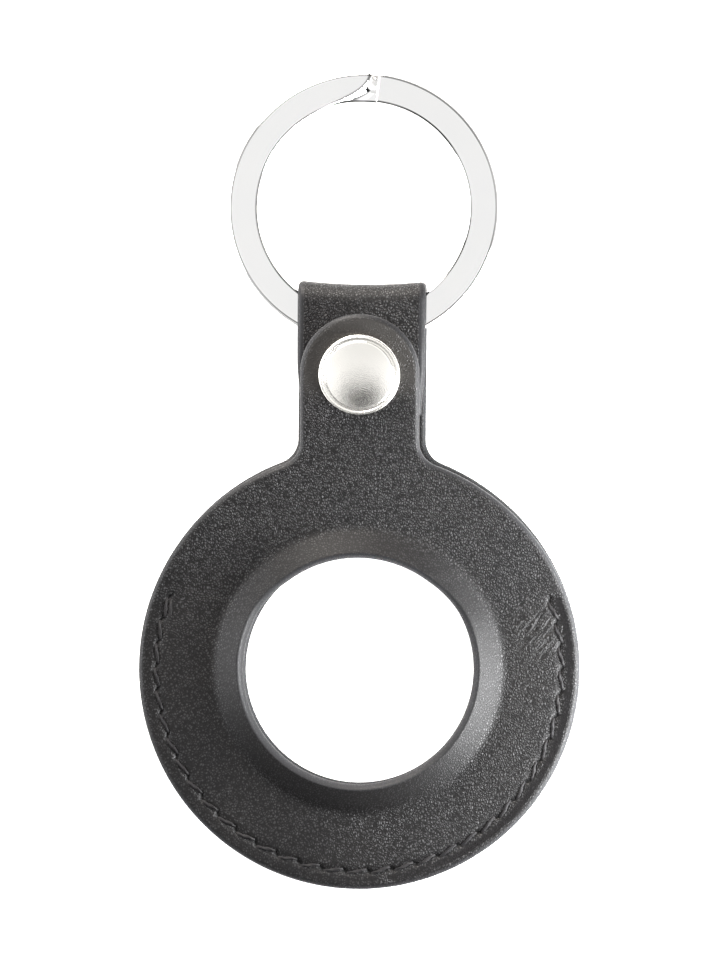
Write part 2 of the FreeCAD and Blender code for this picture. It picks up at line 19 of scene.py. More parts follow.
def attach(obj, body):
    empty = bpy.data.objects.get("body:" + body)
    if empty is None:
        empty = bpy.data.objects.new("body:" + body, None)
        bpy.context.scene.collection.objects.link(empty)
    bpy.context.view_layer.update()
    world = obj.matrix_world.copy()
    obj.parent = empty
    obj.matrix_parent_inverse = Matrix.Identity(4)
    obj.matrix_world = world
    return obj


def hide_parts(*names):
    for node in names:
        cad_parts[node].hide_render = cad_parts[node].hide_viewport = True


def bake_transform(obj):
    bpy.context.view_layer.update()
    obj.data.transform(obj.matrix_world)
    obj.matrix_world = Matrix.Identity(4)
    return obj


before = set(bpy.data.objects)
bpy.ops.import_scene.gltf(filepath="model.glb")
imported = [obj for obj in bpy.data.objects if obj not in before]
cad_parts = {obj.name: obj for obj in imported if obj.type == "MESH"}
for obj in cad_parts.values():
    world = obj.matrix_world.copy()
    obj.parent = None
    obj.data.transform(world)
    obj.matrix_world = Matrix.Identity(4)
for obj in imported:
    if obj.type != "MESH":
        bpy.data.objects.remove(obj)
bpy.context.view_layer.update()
MM = 0.001

# %% [markdown]
# ## Camera
#
# The photograph looks straight down on the holder from far away, and a little from the right, because the
# right side walls show and the left ones do not. The holder also lies turned by less than a degree. A long
# lens far away gives the same flat perspective. The size of one photographed pixel sets the lens, so that
# no camera shift is needed.

# %% Place the camera
PIXEL = 0.111 * MM
PHOTO_HEIGHT = 962
CAMERA_DISTANCE = 1.5
CAMERA_LEAN = math.radians(3.0)
CAMERA_ROLL = math.radians(0.6)
PHOTO_MIDDLE = Vector((-0.06 * MM, 20.81 * MM, 1.8 * MM))


def put(name, data):
    """A new object in the scene that shows this data."""
    thing = bpy.data.objects.new(name, data)
    bpy.context.scene.collection.objects.link(thing)
    return thing


camera_data = bpy.data.cameras.new("camera")
camera_data.sensor_fit = "VERTICAL"
camera_data.lens = camera_data.sensor_height * CAMERA_DISTANCE / (PHOTO_HEIGHT * PIXEL)
camera = put("camera", camera_data)
camera_turn = Matrix.Rotation(CAMERA_LEAN, 4, "Y") @ Matrix.Rotation(CAMERA_ROLL, 4, "Z")
camera_out = Matrix.Translation((0, 0, CAMERA_DISTANCE))
camera.matrix_world = Matrix.Translation(PHOTO_MIDDLE) @ camera_turn @ camera_out
bpy.context.scene.camera = camera
print(f"lens {camera_data.lens:.0f} mm")

# %% [markdown]
# ## A small language for nodes
#
# A finish is a graph of nodes, and long lists of links are hard to read. Three small classes make it
# readable. A `Signal` is one output of a node, and arithmetic on it adds Math nodes, so `1 - mask` works as
# written. `Nodes.node` adds any other node: first its settings, then the values or signals of its sockets.
# A `Finish` is the node tree of a material, with short names for the nodes that most finishes need.

# %% Signals and nodes
class Signal:
    """One output of a node. Arithmetic on it adds Math nodes to the same tree."""

    def __init__(self, nodes, socket):
        self.nodes = nodes
        self.socket = socket

    def math(self, operation, *values):
        return self.nodes.node("ShaderNodeMath", {"operation": operation}, dict(enumerate(values)))

    def __add__(self, other):
        return self.math("ADD", self, other)

    def __sub__(self, other):
        return self.math("SUBTRACT", self, other)

    def __rsub__(self, other):
        return self.math("SUBTRACT", other, self)

    def __mul__(self, other):
        return self.math("MULTIPLY", self, other)

    def __truediv__(self, other):
        return self.math("DIVIDE", self, other)

    def __gt__(self, other):
        return self.math("GREATER_THAN", self, other)

    __radd__ = __add__
    __rmul__ = __mul__


class Nodes:
    """A node tree to which nodes are added one call at a time."""

    def __init__(self, tree):
        self.tree = tree

    def feed(self, socket, value):
        if isinstance(value, Signal):
            self.tree.links.new(value.socket, socket)
        else:
            socket.default_value = value

    def node(self, kind, settings=None, inputs=None, output=0):
        made = self.tree.nodes.new(kind)
        for name, value in (settings or {}).items():
            setattr(made, name, value)
        for key, value in (inputs or {}).items():
            self.feed(made.inputs[key], value)
        return Signal(self, made.outputs[output])

    def band(self, value, low, high):
        """0 below low, 1 above high and smooth between them."""
        span = {"Value": value, "From Min": low, "From Max": high}
        return self.node("ShaderNodeMapRange", {"interpolation_type": "SMOOTHSTEP"}, span)

    def vector(self, operation, first, second, output=0):
        """Vector Math on two vectors. A distance or a dot product is the output called Value."""
        return self.node("ShaderNodeVectorMath", {"operation": operation}, {0: first, 1: second}, output)

    def blend_colour(self, share, first, second):
        """The first colour where share is 0 and the second where it is 1."""
        colours = {0: share, 6: first, 7: second}
        return self.node("ShaderNodeMix", {"data_type": "RGBA"}, colours, output=2)


class Finish(Nodes):
    """A material with one Principled shader."""

    def __init__(self, name):
        self.material = bpy.data.materials.new(name)
        self.material.use_nodes = True
        super().__init__(self.material.node_tree)
        self.shader = self.tree.nodes["Principled BSDF"]
        self.place = self.node("ShaderNodeTexCoord", output="Object")

    def set(self, **inputs):
        for name, value in inputs.items():
            self.feed(self.shader.inputs[name.replace("_", " ")], value)

    def noise(self, scale, detail=2.0, place=None, output="Fac"):
        spots = {"Vector": place or self.place, "Scale": scale, "Detail": detail}
        return self.node("ShaderNodeTexNoise", None, spots, output)

    def mark(self, name):
        """A number that the mesh carries at each point."""
        return self.node("ShaderNodeAttribute", {"attribute_name": name}, output="Fac")

    def stretched(self, turn, size):
        """Coordinates turned about the vertical and measured in spots of this size."""
        measure = {"Vector": self.place, "Rotation": (0, 0, turn), "Scale": size}
        return self.node("ShaderNodeMapping", {"vector_type": "TEXTURE"}, measure)

    def bump(self, height, depth):
        """Relief in the shading alone, of this depth in metres."""
        relief = {"Height": height, "Distance": depth, "Strength": 1.0}
        self.set(Normal=self.node("ShaderNodeBump", None, relief))


print("node classes ready")

# %% [markdown]
# ## Floor and light
#
# The holder was photographed on a light table, so the white under it has no shadow. One low light close on
# its right rakes over the grain. A cool light fills from the left and a warm one from beyond the ring, and
# soft light comes from all round above.

# %% Lights
LIGHT_AIM = Vector((0, 15 * MM, 2 * MM))
CLEAR = (0.98, 0.99, 1.0)
COOL = (0.96, 0.97, 1.0)
WARM = (1.0, 0.94, 0.88)


def soft_light(name, place, size, power, colour):
    """An area light that faces the middle of the holder, with its length level."""
    lamp = bpy.data.lights.new(name, "AREA")
    lamp.shape = "ELLIPSE"
    lamp.size, lamp.size_y = size
    lamp.energy = power
    lamp.color = colour
    stand = put(name, lamp)
    toward = LIGHT_AIM - Vector(place)
    stand.matrix_world = Matrix.Translation(place) @ toward.to_track_quat("-Z", "Y").to_matrix().to_4x4()


soft_light("raking strip", place=(0.064, -0.007, 0.026), size=(0.085, 0.034), power=0.39, colour=CLEAR)
soft_light("left fill", place=(-0.30, 0.04, 0.09), size=(0.25, 0.25), power=1.5, colour=COOL)
soft_light("top fill", place=(-0.08, 0.24, 0.10), size=(0.20, 0.20), power=2.1, colour=WARM)

# %% [markdown]
# Polished metal shows nothing but its surroundings. So the world is darker near the horizon, which shapes
# the ring, and a little darker straight above. A round dark flag towards the reader shows as the dark patch
# in the snap's cap.

# %% World
HORIZON_LIGHT = 0.28
SKY_LIGHT = 1.02
SKY_RISE = (0.40, 0.78)
ZENITH_SHADE = 0.33
ZENITH_RISE = (0.90, 0.97)
FLAG = Vector((-0.02, -0.60, 0.80))
FLAG_EDGE = (0.970, 0.982)
FLAG_SHADE = 0.97

world = bpy.data.worlds.new("studio")
world.use_nodes = True
sky = Nodes(world.node_tree)
direction = sky.node("ShaderNodeTexCoord", output="Generated")
upward = sky.node("ShaderNodeSeparateXYZ", None, {0: direction}, output="Z")
around = sky.band(upward, *SKY_RISE)
overhead = sky.band(upward, *ZENITH_RISE)
flag = sky.band(sky.vector("DOT_PRODUCT", direction, FLAG, "Value"), *FLAG_EDGE)
brightness = (HORIZON_LIGHT + around * SKY_LIGHT - overhead * ZENITH_SHADE) * (1 - flag * FLAG_SHADE)
backdrop = world.node_tree.nodes["Background"]
sky.feed(backdrop.inputs["Color"], (1.0, 1.0, 1.0, 1.0))
sky.feed(backdrop.inputs["Strength"], brightness)
bpy.context.scene.world = world
bpy.context.scene.view_settings.view_transform = "Standard"
print("world nodes:", len(world.node_tree.nodes))

# %% [markdown]
# The floor is a large pale sheet that glows a little, as the light table does. It is part of the stage and
# not of the holder.

# %% Floor
FLOOR_HALF = 3.0
FLOOR_LEVEL = -0.05 * MM
FLOOR_GLOW = 0.75
CORNER_SIGNS = ((-1, -1), (1, -1), (1, 1), (-1, 1))


def grey(level):
    return (level, level, level, 1)


floor_finish = Finish("pale floor")
floor_tone = floor_finish.blend_colour(floor_finish.noise(30.0), grey(0.93), grey(0.95))
floor_finish.set(Base_Color=floor_tone, Roughness=0.8)
floor_finish.set(Emission_Color=grey(1), Emission_Strength=FLOOR_GLOW)
floor_corners = [(x * FLOOR_HALF, y * FLOOR_HALF, FLOOR_LEVEL) for x, y in CORNER_SIGNS]
floor_mesh = bpy.data.meshes.new("floor")
floor_mesh.from_pydata(floor_corners, [], [(0, 1, 2, 3)])
floor_mesh.materials.append(floor_finish.material)
floor = put("floor", floor_mesh)
print(f"floor {2 * FLOOR_HALF:.0f} m wide")

# %% [markdown]
# ## Leather finish
#
# Black bag leather has a fine pebbled grain: raised cells a few tenths of a millimetre wide with narrow
# valleys. A Voronoi pattern's distance to its cell edges gives the pebbles, a little longer one way than
# the other, and noise bends them so that no two are alike. Their tops are polished by handling, which a
# coat on the tops shows. The tops are also painted lighter, a painted sheen that leaves the valleys as
# painted shade.
#
# Towards the lower left the grain is rubbed down, the collar was pressed smooth in its mould, and the
# tongue's tip is worn smooth; its lighter colour there is a painted sheen. Cut edges are painted, and the
# flesh side is rough and dull. The mesh says where most of these are, as marks at its points, because only
# the mesh knows what is an edge. Where the seam starts on the right, the thread has pulled the leather into
# a few slanted creases, which are noise stretched along one direction.

# %% Grain of the leather
MARKS = ("paint", "flesh", "slit", "smooth", "worn", "moulded")
PEBBLE_TURN = math.radians(65)
PEBBLE_SIZE = (1.3, 1.0, 1.0)
PEBBLE_SCALE = 4000.0
PEBBLE_DRIFT = 0.00018
PEBBLE_RISE = (0.03, 0.45)
TOP_RISE = (0.08, 0.36)
RUBBED_WAY = Vector((0.9, 0.7, 0.0))
RUBBED_REACH = (-0.022, 0.004)
CREASE_TURN = math.radians(48)
CREASE_SIZE = (0.0026, 0.00055, 1.0)
CREASE_RISE = (0.40, 0.60)
PULL_PLACE = Vector((20.4 * MM, 4.4 * MM, 2.4 * MM))
PULL_REACH = (0.0012, 0.0044)


def pebbles(finish):
    """How high a pebble is, and which part of it is its top."""
    drift = finish.noise(1500.0, output="Color")
    shift = finish.node("ShaderNodeVectorMath", {"operation": "SCALE"}, {0: drift, "Scale": PEBBLE_DRIFT})
    bent = finish.vector("ADD", finish.stretched(PEBBLE_TURN, PEBBLE_SIZE), shift)
    cells = {"Vector": bent, "Scale": PEBBLE_SCALE}
    valley = finish.node("ShaderNodeTexVoronoi", {"feature": "DISTANCE_TO_EDGE"}, cells)
    return finish.band(valley, *PEBBLE_RISE), finish.band(valley, *TOP_RISE)


def pull_creases(finish):
    """Creases at the start of the seam, and the share of their place."""
    pulled = finish.noise(1.0, 1.0, finish.stretched(CREASE_TURN, CREASE_SIZE))
    distance = finish.vector("DISTANCE", finish.place, PULL_PLACE, "Value")
    pull = 1 - finish.band(distance, *PULL_REACH)
    return finish.band(pulled, *CREASE_RISE) * pull, pull


def reduced(value, losses):
    """The value, less a share of it wherever a mark is set."""
    for mark, loss in losses:
        value = value * (1 - mark * loss)
    return value


print("marks on the leather:", MARKS)

# %% Leather
GRAIN_DEPTH = 0.00010
PORE_HEIGHT = 0.4
CREASE_HEIGHT = 1.4
FIBRE_HEIGHT = 0.9
SLIT_FALL = 0.9
BLACK_TONE = (0.0030, 0.0030, 0.0034, 1)
BROWN_TONE = (0.0060, 0.0055, 0.0053, 1)
# The pebble tops' lighter tone is a painted sheen, and the darker valleys are painted shade.
TOP_SHEEN_TONE = (0.012, 0.0115, 0.012, 1)
# The tongue tip's lighter tone is a painted sheen.
TIP_SHEEN_TONE = (0.034, 0.032, 0.030, 1)
PAINT_TONE = (0.012, 0.012, 0.013, 1)
FLESH_TONE = (0.032, 0.029, 0.027, 1)
# The slit's dark tone is painted shade in the needle holes.
SLIT_SHADE_TONE = grey(0.003)
LEATHER_ROUGHNESS = 0.39


def leather_finish():
    finish = Finish("black leather")
    paint, flesh, slit, smooth, worn, moulded = [finish.mark(name) for name in MARKS]
    pebble, tops = pebbles(finish)
    creases, pull = pull_creases(finish)
    pores = finish.noise(9000.0)
    patches = finish.noise(170.0, 3.0)
    fullness = finish.band(patches, 0.3, 0.7) * 0.3 + 0.7
    rubbed = 1 - finish.band(finish.vector("DOT_PRODUCT", finish.place, RUBBED_WAY, "Value"), *RUBBED_REACH)

    flatter = [(rubbed, 0.55), (smooth, 0.8), (moulded, 0.8), (pull, 0.35)]
    grain = reduced(pebble * fullness + pores * PORE_HEIGHT, flatter)
    grain = grain + creases * (1 - smooth) * CREASE_HEIGHT
    fibres = finish.noise(4200.0, 6.0) * flesh * FIBRE_HEIGHT
    finish.bump(reduced(grain, [(paint, 1), (flesh, 1)]) + fibres - slit * SLIT_FALL, GRAIN_DEPTH)

    tone = finish.blend_colour(patches, BLACK_TONE, BROWN_TONE)
    # Painted sheen on the pebble tops and on the tongue's tip, and painted shade in the slits, are layered
    # into the tone here.
    layers = [(tops * (1 - paint) * 0.75, TOP_SHEEN_TONE), (worn, TIP_SHEEN_TONE), (paint, PAINT_TONE)]
    for share, colour in layers + [(flesh, FLESH_TONE), (slit, SLIT_SHADE_TONE)]:
        tone = finish.blend_colour(share, tone, colour)

    roughness = LEATHER_ROUGHNESS
    rougher = [(pores, 0.08), (paint, 0.10), (moulded, 0.15), (flesh, 0.46), (slit, 0.3)]
    smoother = [(pebble, -0.12), (smooth, -0.15)]
    for mark, share in rougher + smoother:
        roughness = roughness + mark * share
    topped = reduced(tops, [(rubbed, 0.4), (moulded, 1)]) + moulded * 0.10
    polish = reduced(topped, [(smooth, 0.8), (paint, 0.6), (flesh, 1), (slit, 1)])
    finish.set(Base_Color=tone, Roughness=roughness, Specular_IOR_Level=0.15)
    finish.set(Coat_Weight=polish, Coat_Roughness=0.38, Coat_IOR=1.36)
    return finish.material


black_leather = leather_finish()
print("finish:", black_leather.name)

# %% [markdown]
# ## Thread and metal finishes
#
# The thread is waxed and black. The split ring is chrome, so its colour is nearly white, and only the lines
# along its bevels are painted dark, a painted reflection of dark surroundings. The mesh marks these lines.
# The snap's cap is nickel with a satin surface, which blurs what it reflects. The hidden snap pieces are
# bright nickel, and the socket's spring is drawn steel wire.

# %% Thread and metals
def thread_finish():
    finish = Finish("black waxed thread")
    fuzz = finish.noise(7000.0, 4.0)
    finish.bump(fuzz, 0.00004)
    wax = finish.noise(600.0)
    tone = finish.blend_colour(wax, (0.005, 0.005, 0.006, 1), (0.013, 0.012, 0.012, 1))
    finish.set(Base_Color=tone, Roughness=0.45 + fuzz * 0.25, Specular_IOR_Level=0.18)
    return finish.material


def metal_finish(name, light, dark, roughness, spread, grain_scale, grain_depth):
    """Plated metal: cloudy colour, and a fine grain that roughens the mirror."""
    finish = Finish(name)
    clouds = finish.noise(250.0, 3.0)
    grain = finish.noise(grain_scale)
    finish.bump(grain, grain_depth)
    unbroken = finish.band(finish.noise(90.0, 1.0), 0.40, 0.60)
    # The ring's mark 'line' paints dark lines into the colour: a painted reflection of dark surroundings
    # along the bevels and painted shade at the step's crest.
    line = finish.mark("line") * (0.7 + 0.3 * unbroken)
    tone = finish.blend_colour(line, finish.blend_colour(clouds, light, dark), grey(0.02))
    finish.set(Base_Color=tone, Metallic=1.0, Roughness=roughness + spread * grain)
    return finish.material


black_thread = thread_finish()
chrome = metal_finish("polished chrome", (0.95, 0.945, 0.93, 1), grey(0.91),
                      roughness=0.04, spread=0.05, grain_scale=3000.0, grain_depth=0.0000002)
satin_nickel = metal_finish("satin nickel", (0.90, 0.88, 0.84, 1), (0.82, 0.80, 0.75, 1),
                            roughness=0.14, spread=0.10, grain_scale=8500.0, grain_depth=0.000015)
nickel = metal_finish("nickel plate", (0.78, 0.77, 0.75, 1), (0.66, 0.65, 0.63, 1),
                      roughness=0.14, spread=0.10, grain_scale=6000.0, grain_depth=0.000001)
spring_steel = metal_finish("spring steel", (0.60, 0.60, 0.61, 1), (0.46, 0.46, 0.47, 1),
                            roughness=0.22, spread=0.12, grain_scale=8000.0, grain_depth=0.000001)
print("finishes:", len(bpy.data.materials))

# %% [markdown]
# ## From points to a piece
#
# Every piece below but the stitches is a grid of points: rows of equal length that are joined by
# four-sided faces. One helper joins the rows, one turns the result into an object that carries its finish,
# and marks are stored as attributes of the mesh. Normals are recalculated on the merged, closed mesh, so
# that they all point outwards.

# %% Helpers for grids
MERGE_DISTANCE = 1e-7


def grid_faces(rows, columns, wrap_rows=False, first=0):
    """Four-sided faces between the closed rows of a grid whose points are numbered row by row."""
    faces = []
    for row in range(rows if wrap_rows else rows - 1):
        near = first + row * columns
        far = first + (row + 1) % rows * columns
        for column in range(columns):
            beside = (column + 1) % columns
            faces.append((near + column, near + beside, far + beside, far + column))
    return faces


def add_piece(name, points_mm, faces, material, marks=None):
    """A smooth closed mesh in its place, from points in millimetres."""
    mesh = bpy.data.meshes.new(name)
    mesh.from_pydata((np.asarray(points_mm) * MM).tolist(), [], faces)
    for mark, values in (marks or {}).items():
        layer = mesh.attributes.new(mark, "FLOAT", "POINT")
        layer.data.foreach_set("value", np.asarray(values, dtype=np.float32).ravel())
    shape = bmesh.new()
    shape.from_mesh(mesh)
    loose = [point for point in shape.verts if not point.link_faces]
    bmesh.ops.delete(shape, geom=loose, context="VERTS")
    bmesh.ops.remove_doubles(shape, verts=shape.verts, dist=MERGE_DISTANCE)
    bmesh.ops.recalc_face_normals(shape, faces=shape.faces)
    open_edges = sum(1 for edge in shape.edges if not edge.is_manifold)
    shape.to_mesh(mesh)
    shape.free()
    mesh.shade_smooth()
    mesh.materials.append(material)
    piece = put(name, mesh)
    print(f"{name}: {len(mesh.vertices)} points, {len(mesh.polygons)} faces, {open_edges} open edges")
    return piece


print("grid helpers ready")

# %% [markdown]
# ## The leather's cut edge
#
# Both leathers are a disc with a neck, and the neck runs into the disc in a small fillet. The mesh follows
# the edge: each column of the grid starts at a point of the edge and runs inwards, first square to the
# edge, so that rounding and seam keep their width, and then towards the window.

# %% Sizes of the leather, in millimetres
LEATHER = 1.2
DISC_RADIUS = 24.5
NECK_FILLET = 2.8
SEAM_RADIUS = 22.5
SEAM_RISE = math.radians(20.419)
SEAM_SWEEP = math.pi + 2 * SEAM_RISE
STITCHES = 33
EDGE_ROUND = 0.65
MARGIN = 3.2
NECK_PLACES = (23.0, 24.5, 25.6, 33.4, 36.0)
NECK_DEPTHS = MARGIN * np.array([1.0, 0.8, 0.9, 1.45, 1.5])


def arc(centre, radius, start, stop, step):
    """Points along an arc without its last one, and the direction from the centre at each."""
    count = max(2, round(abs(stop - start) * radius / step))
    angles = np.linspace(start, stop, count, endpoint=False)
    outward = np.stack([np.cos(angles), np.sin(angles)], axis=1)
    return np.asarray(centre) + radius * outward, outward


def line(start, stop, step):
    """Points along a straight side without its last one, and the direction to its left."""
    start, stop = np.asarray(start, float), np.asarray(stop, float)
    run = np.linalg.norm(stop - start)
    count = max(1, round(run / step))
    share = np.linspace(0, 1, count, endpoint=False)[:, None]
    left = np.array([start[1] - stop[1], stop[0] - start[0]]) / run
    return start + share * (stop - start), np.repeat(left[None], count, axis=0)


def half_edge(neck_width, neck_end):
    """Right half of a leather's edge, from its lowest point to the end of the neck's straight side."""
    side = neck_width / 2
    fillet_x = side + NECK_FILLET
    fillet_y = math.sqrt((DISC_RADIUS + NECK_FILLET) ** 2 - fillet_x ** 2)
    leave = math.atan2(fillet_y, fillet_x)
    sewn, sewn_out = arc((0, 0), DISC_RADIUS, -math.pi / 2, SEAM_RISE, step=0.22)
    loose, loose_out = arc((0, 0), DISC_RADIUS, SEAM_RISE, leave, step=0.4)
    fillet, fillet_out = arc((fillet_x, fillet_y), NECK_FILLET, leave + math.pi, math.pi, step=0.25)
    straight, straight_in = line((side, fillet_y), (side, neck_end), step=0.5)
    edge = np.concatenate([sewn, loose, fillet, straight])
    inward = np.concatenate([-sewn_out, -loose_out, fillet_out, straight_in])
    return edge, inward


def mirrored(edge, inward):
    """The left half, from top to bottom, without the lowest point that both halves share."""
    flip = np.array([-1, 1])
    return edge[:0:-1] * flip, inward[:0:-1] * flip


def margin_depth(edge):
    """How far each column runs square to the edge: less in the neck's fillets and more in the tongue."""
    return np.interp(edge[:, 1], NECK_PLACES, NECK_DEPTHS)[:, None]


print("edge helpers ready")

# %% [markdown]
# ## The seam's marks in the leather
#
# A sewn seam pulls the leather down into a shallow furrow, and each needle hole is a short slanted slit
# that runs from the outer end of one stitch to the inner start of the next. The grid is fine enough here to
# press both into the mesh. The slit is also a mark for the finish, which paints it dark as painted shade in
# the hole.

# %% Furrow and slits
STITCH_PITCH = SEAM_SWEEP * SEAM_RADIUS / STITCHES
SLIT_ALONG, SLIT_ACROSS = 0.8, 0.6
SLIT_HALF = 0.5
SLIT_SOFT = 0.1
SLIT_WIDTH = 0.16
FADE_BEYOND, FADE_WITHIN = 0.9, 0.2
BEFORE_START = 0.5
LEFT_BURNISH = 0.3
BURNISHED_OUT = (0.3, 0.8)
BURNISHED_RIGHT = (2.0, 14.0)
TIP_WEAR_AND_SHEEN = 0.7
TIP_SPAN = (29.5, 33.0)


def smooth_step(value, low, high):
    share = np.clip((value - low) / (high - low), 0, 1)
    return share * share * (3 - 2 * share)


def seam_place(plan):
    """Distance along the seam, clockwise from its right end, and outwards from it."""
    angle = np.arctan2(plan[..., 1], plan[..., 0])
    along = np.mod(SEAM_RISE - angle + BEFORE_START, 2 * math.pi) - BEFORE_START
    return along * SEAM_RADIUS, np.hypot(plan[..., 0], plan[..., 1]) - SEAM_RADIUS


def seam_share(along):
    """1 along the seam and 0 beyond its ends."""
    length = SEAM_SWEEP * SEAM_RADIUS
    begun = smooth_step(along, -FADE_BEYOND, FADE_WITHIN)
    return begun * (1 - smooth_step(along, length - FADE_WITHIN, length + FADE_BEYOND))


def slit_share(plan):
    """1 in the middle of a slit, and 0 away from all of them."""
    along, out = seam_place(plan)
    hole = np.clip(np.round(along / STITCH_PITCH), 0, STITCHES)
    beside = along - hole * STITCH_PITCH
    lengthwise = beside * SLIT_ALONG - out * SLIT_ACROSS
    sideways = beside * SLIT_ACROSS + out * SLIT_ALONG
    inside = 1 - smooth_step(np.abs(lengthwise), SLIT_HALF - SLIT_SOFT, SLIT_HALF + SLIT_SOFT)
    return inside * np.exp(-(sideways / SLIT_WIDTH) ** 2)


def furrow_share(plan, width):
    """1 along the bottom of the furrow, and 0 away from it."""
    along, out = seam_place(plan)
    return np.exp(-(out / width) ** 2) * seam_share(along)


def burnished(plan):
    """The margin outside the seam is rubbed smooth, mostly on the right."""
    along, out = seam_place(plan)
    sideways = LEFT_BURNISH + (1 - LEFT_BURNISH) * smooth_step(plan[..., 0], *BURNISHED_RIGHT)
    return smooth_step(out, *BURNISHED_OUT) * seam_share(along) * sideways


def handled(plan):
    """The tongue's tip is pinched each time the snap is opened, which wears it smooth, and it is painted
    lighter there as a painted sheen.
    """
    return TIP_WEAR_AND_SHEEN * smooth_step(plan[..., 1], *TIP_SPAN)


print(f"{STITCHES} stitches every {STITCH_PITCH:.2f} mm")

# %% [markdown]
# ## Bending flat leather
#
# Leather keeps its length and its thickness when it bends. So each leather is drawn flat, with its length
# along the middle line as one coordinate, and then laid along a path that turns. The path is a short list
# of lengths and directions: between two entries the direction changes evenly, which is a bend of constant
# radius.

# %% Lay flat leather along a path
PATH_STEP = 0.01


def laid(lengths, heights, turns):
    """Where points of the flat leather go: distance along +Y and height above the path's start."""
    fine = np.arange(lengths.min() - 1, lengths.max() + 1, PATH_STEP)
    heading = np.interp(fine, *zip(*turns))
    step = np.diff(fine, prepend=fine[0])
    forward = fine[0] + np.cumsum(np.cos(heading) * step)
    rise = np.cumsum(np.sin(heading) * step)
    angle = np.interp(lengths, fine, heading)
    y = np.interp(lengths, fine, forward) - heights * np.sin(angle)
    z = np.interp(lengths, fine, rise) + heights * np.cos(angle)
    return y, z


print("bending helper ready")

# %% [markdown]
# ## Front leather
#
# On the real holder the sewn disc, the moulded collar, the loose flap and the tongue are one piece. The CAD
# model splits it at the fold, because a hinge needs two bodies. Here it is one closed mesh again: its
# columns run from the outer edge over the top to the collar's lip, round the lip and back along the
# underside. The collar's section comes first: leather pressed in a mould has no sharp crease, so its middle
# line bends softly from the flat disc to the collar's slope.

# %% The collar's section
LIP_MIDDLE = np.array([13.007, 2.718])
COLLAR_SLOPE = math.radians(36.5)
COLLAR_LENGTH = 6.5
COLLAR_POINTS = 66
CREASE_LENGTH = 1.9
LIP_ROUND = 0.22


def collar_section():
    """Middle line of the collar from the flat disc up to its lip, with the direction to its top side."""
    along = np.linspace(0, COLLAR_LENGTH, COLLAR_POINTS)
    lip_rise = LIP_MIDDLE[1] - LEATHER / 2 - LIP_ROUND * math.sin(COLLAR_SLOPE)
    start = COLLAR_LENGTH - lip_rise / math.sin(COLLAR_SLOPE)
    slope = COLLAR_SLOPE * smooth_step(along, start - CREASE_LENGTH / 2, start + CREASE_LENGTH / 2)
    step = along[1] - along[0]
    inward = np.cumsum(np.cos(slope) * step)
    rise = np.cumsum(np.sin(slope) * step)
    end = LIP_MIDDLE - LIP_ROUND * np.array([-math.cos(COLLAR_SLOPE), math.sin(COLLAR_SLOPE)])
    radius = end[0] + inward[-1] - inward
    middle = np.stack([radius, LEATHER / 2 + rise], axis=1)
    to_top = np.stack([np.sin(slope), np.cos(slope)], axis=1)
    return middle, to_top


collar_middle, collar_to_top = collar_section()
print("collar from", collar_middle[0].round(2), "to", collar_middle[-1].round(2))

# %% [markdown]
# Both leathers are collected row by row. Each row keeps the plan of its points, their height above the
# lower side and the marks for the finish. The rows lie closest together across the seam, where slits and
# furrow need them.

# %% Rows of a leather
EDGE_TURNS = np.radians(np.linspace(-90, 90, 13))
PAINTED_TURN = np.radians([40, 80])
BEFORE_SEAM = np.arange(0.8, 1.3, 0.15)
ACROSS_SEAM = np.arange(1.3, 2.75, 0.09)
BEHIND_SEAM = np.arange(2.8, MARGIN, 0.2)
SEAM_ROWS = np.concatenate([BEFORE_SEAM, ACROSS_SEAM, BEHIND_SEAM])
HIDDEN_ROWS = (0.8, 1.4)
DENT_DEPTH, WAVE_DEPTH = 0.025, 0.018


class Rows:
    """Rows of a leather's grid: plan points, heights above its lower side, and marks for the finish."""

    def __init__(self):
        self.plans = []
        self.heights = []
        self.marks = {mark: [] for mark in MARKS}

    def add(self, plan, height, **marks):
        self.plans.append(plan)
        self.heights.append(np.broadcast_to(height, len(plan)))
        for mark, values in self.marks.items():
            values.append(np.broadcast_to(marks.get(mark, 0.0), len(plan)))

    def round_edge(self, edge, inward, turns):
        """A painted edge, rounded from one side of the leather to the other."""
        for turn in turns:
            inset = EDGE_ROUND * (1 - math.cos(turn))
            paint = 1 - smooth_step(turn, *PAINTED_TURN)
            plan = edge + inset * inward
            worn = handled(plan) * (1 - paint)
            self.add(plan, LEATHER / 2 * (1 + math.sin(turn)), paint=paint, smooth=worn, worn=worn)

    def arrays(self):
        marks = {mark: np.stack(values) for mark, values in self.marks.items()}
        return np.stack(self.plans), np.stack(self.heights), marks


def undulation(plan):
    """Faint unevenness of leather that has been handled: broad dents and slanted waves."""
    x, y = plan[..., 0], plan[..., 1]
    dents = DENT_DEPTH * np.sin(0.41 * x + 0.8) * np.sin(0.37 * y)
    waves = WAVE_DEPTH * np.sin(0.83 * x - 0.61 * y + 1.9)
    return dents + waves


print(f"{len(SEAM_ROWS)} rows across the margin")

# %% [markdown]
# The front leather's flat grid is laid along a path that turns up by the tongue's incline between the
# seam's ends, because the snap holds the tongue up on the folded strap.

# %% Front leather
TONGUE_WIDTH = 13.2
TONGUE_CENTRE = 33.373
INCLINE = math.radians(11.2168)
FOLD_TURNS = [(6.0, 0.0), (10.2, INCLINE)]
FRONT_BASE = LEATHER + 0.01
FURROW_DEPTH = 0.16
FURROW_WIDTH = 0.45
SLIT_DEPTH = 0.22
MOULDED = 0.75
MOULDED_SPAN = (14.4, 16.2)
LIP_TURNS = np.radians(np.linspace(72, -72, 9))


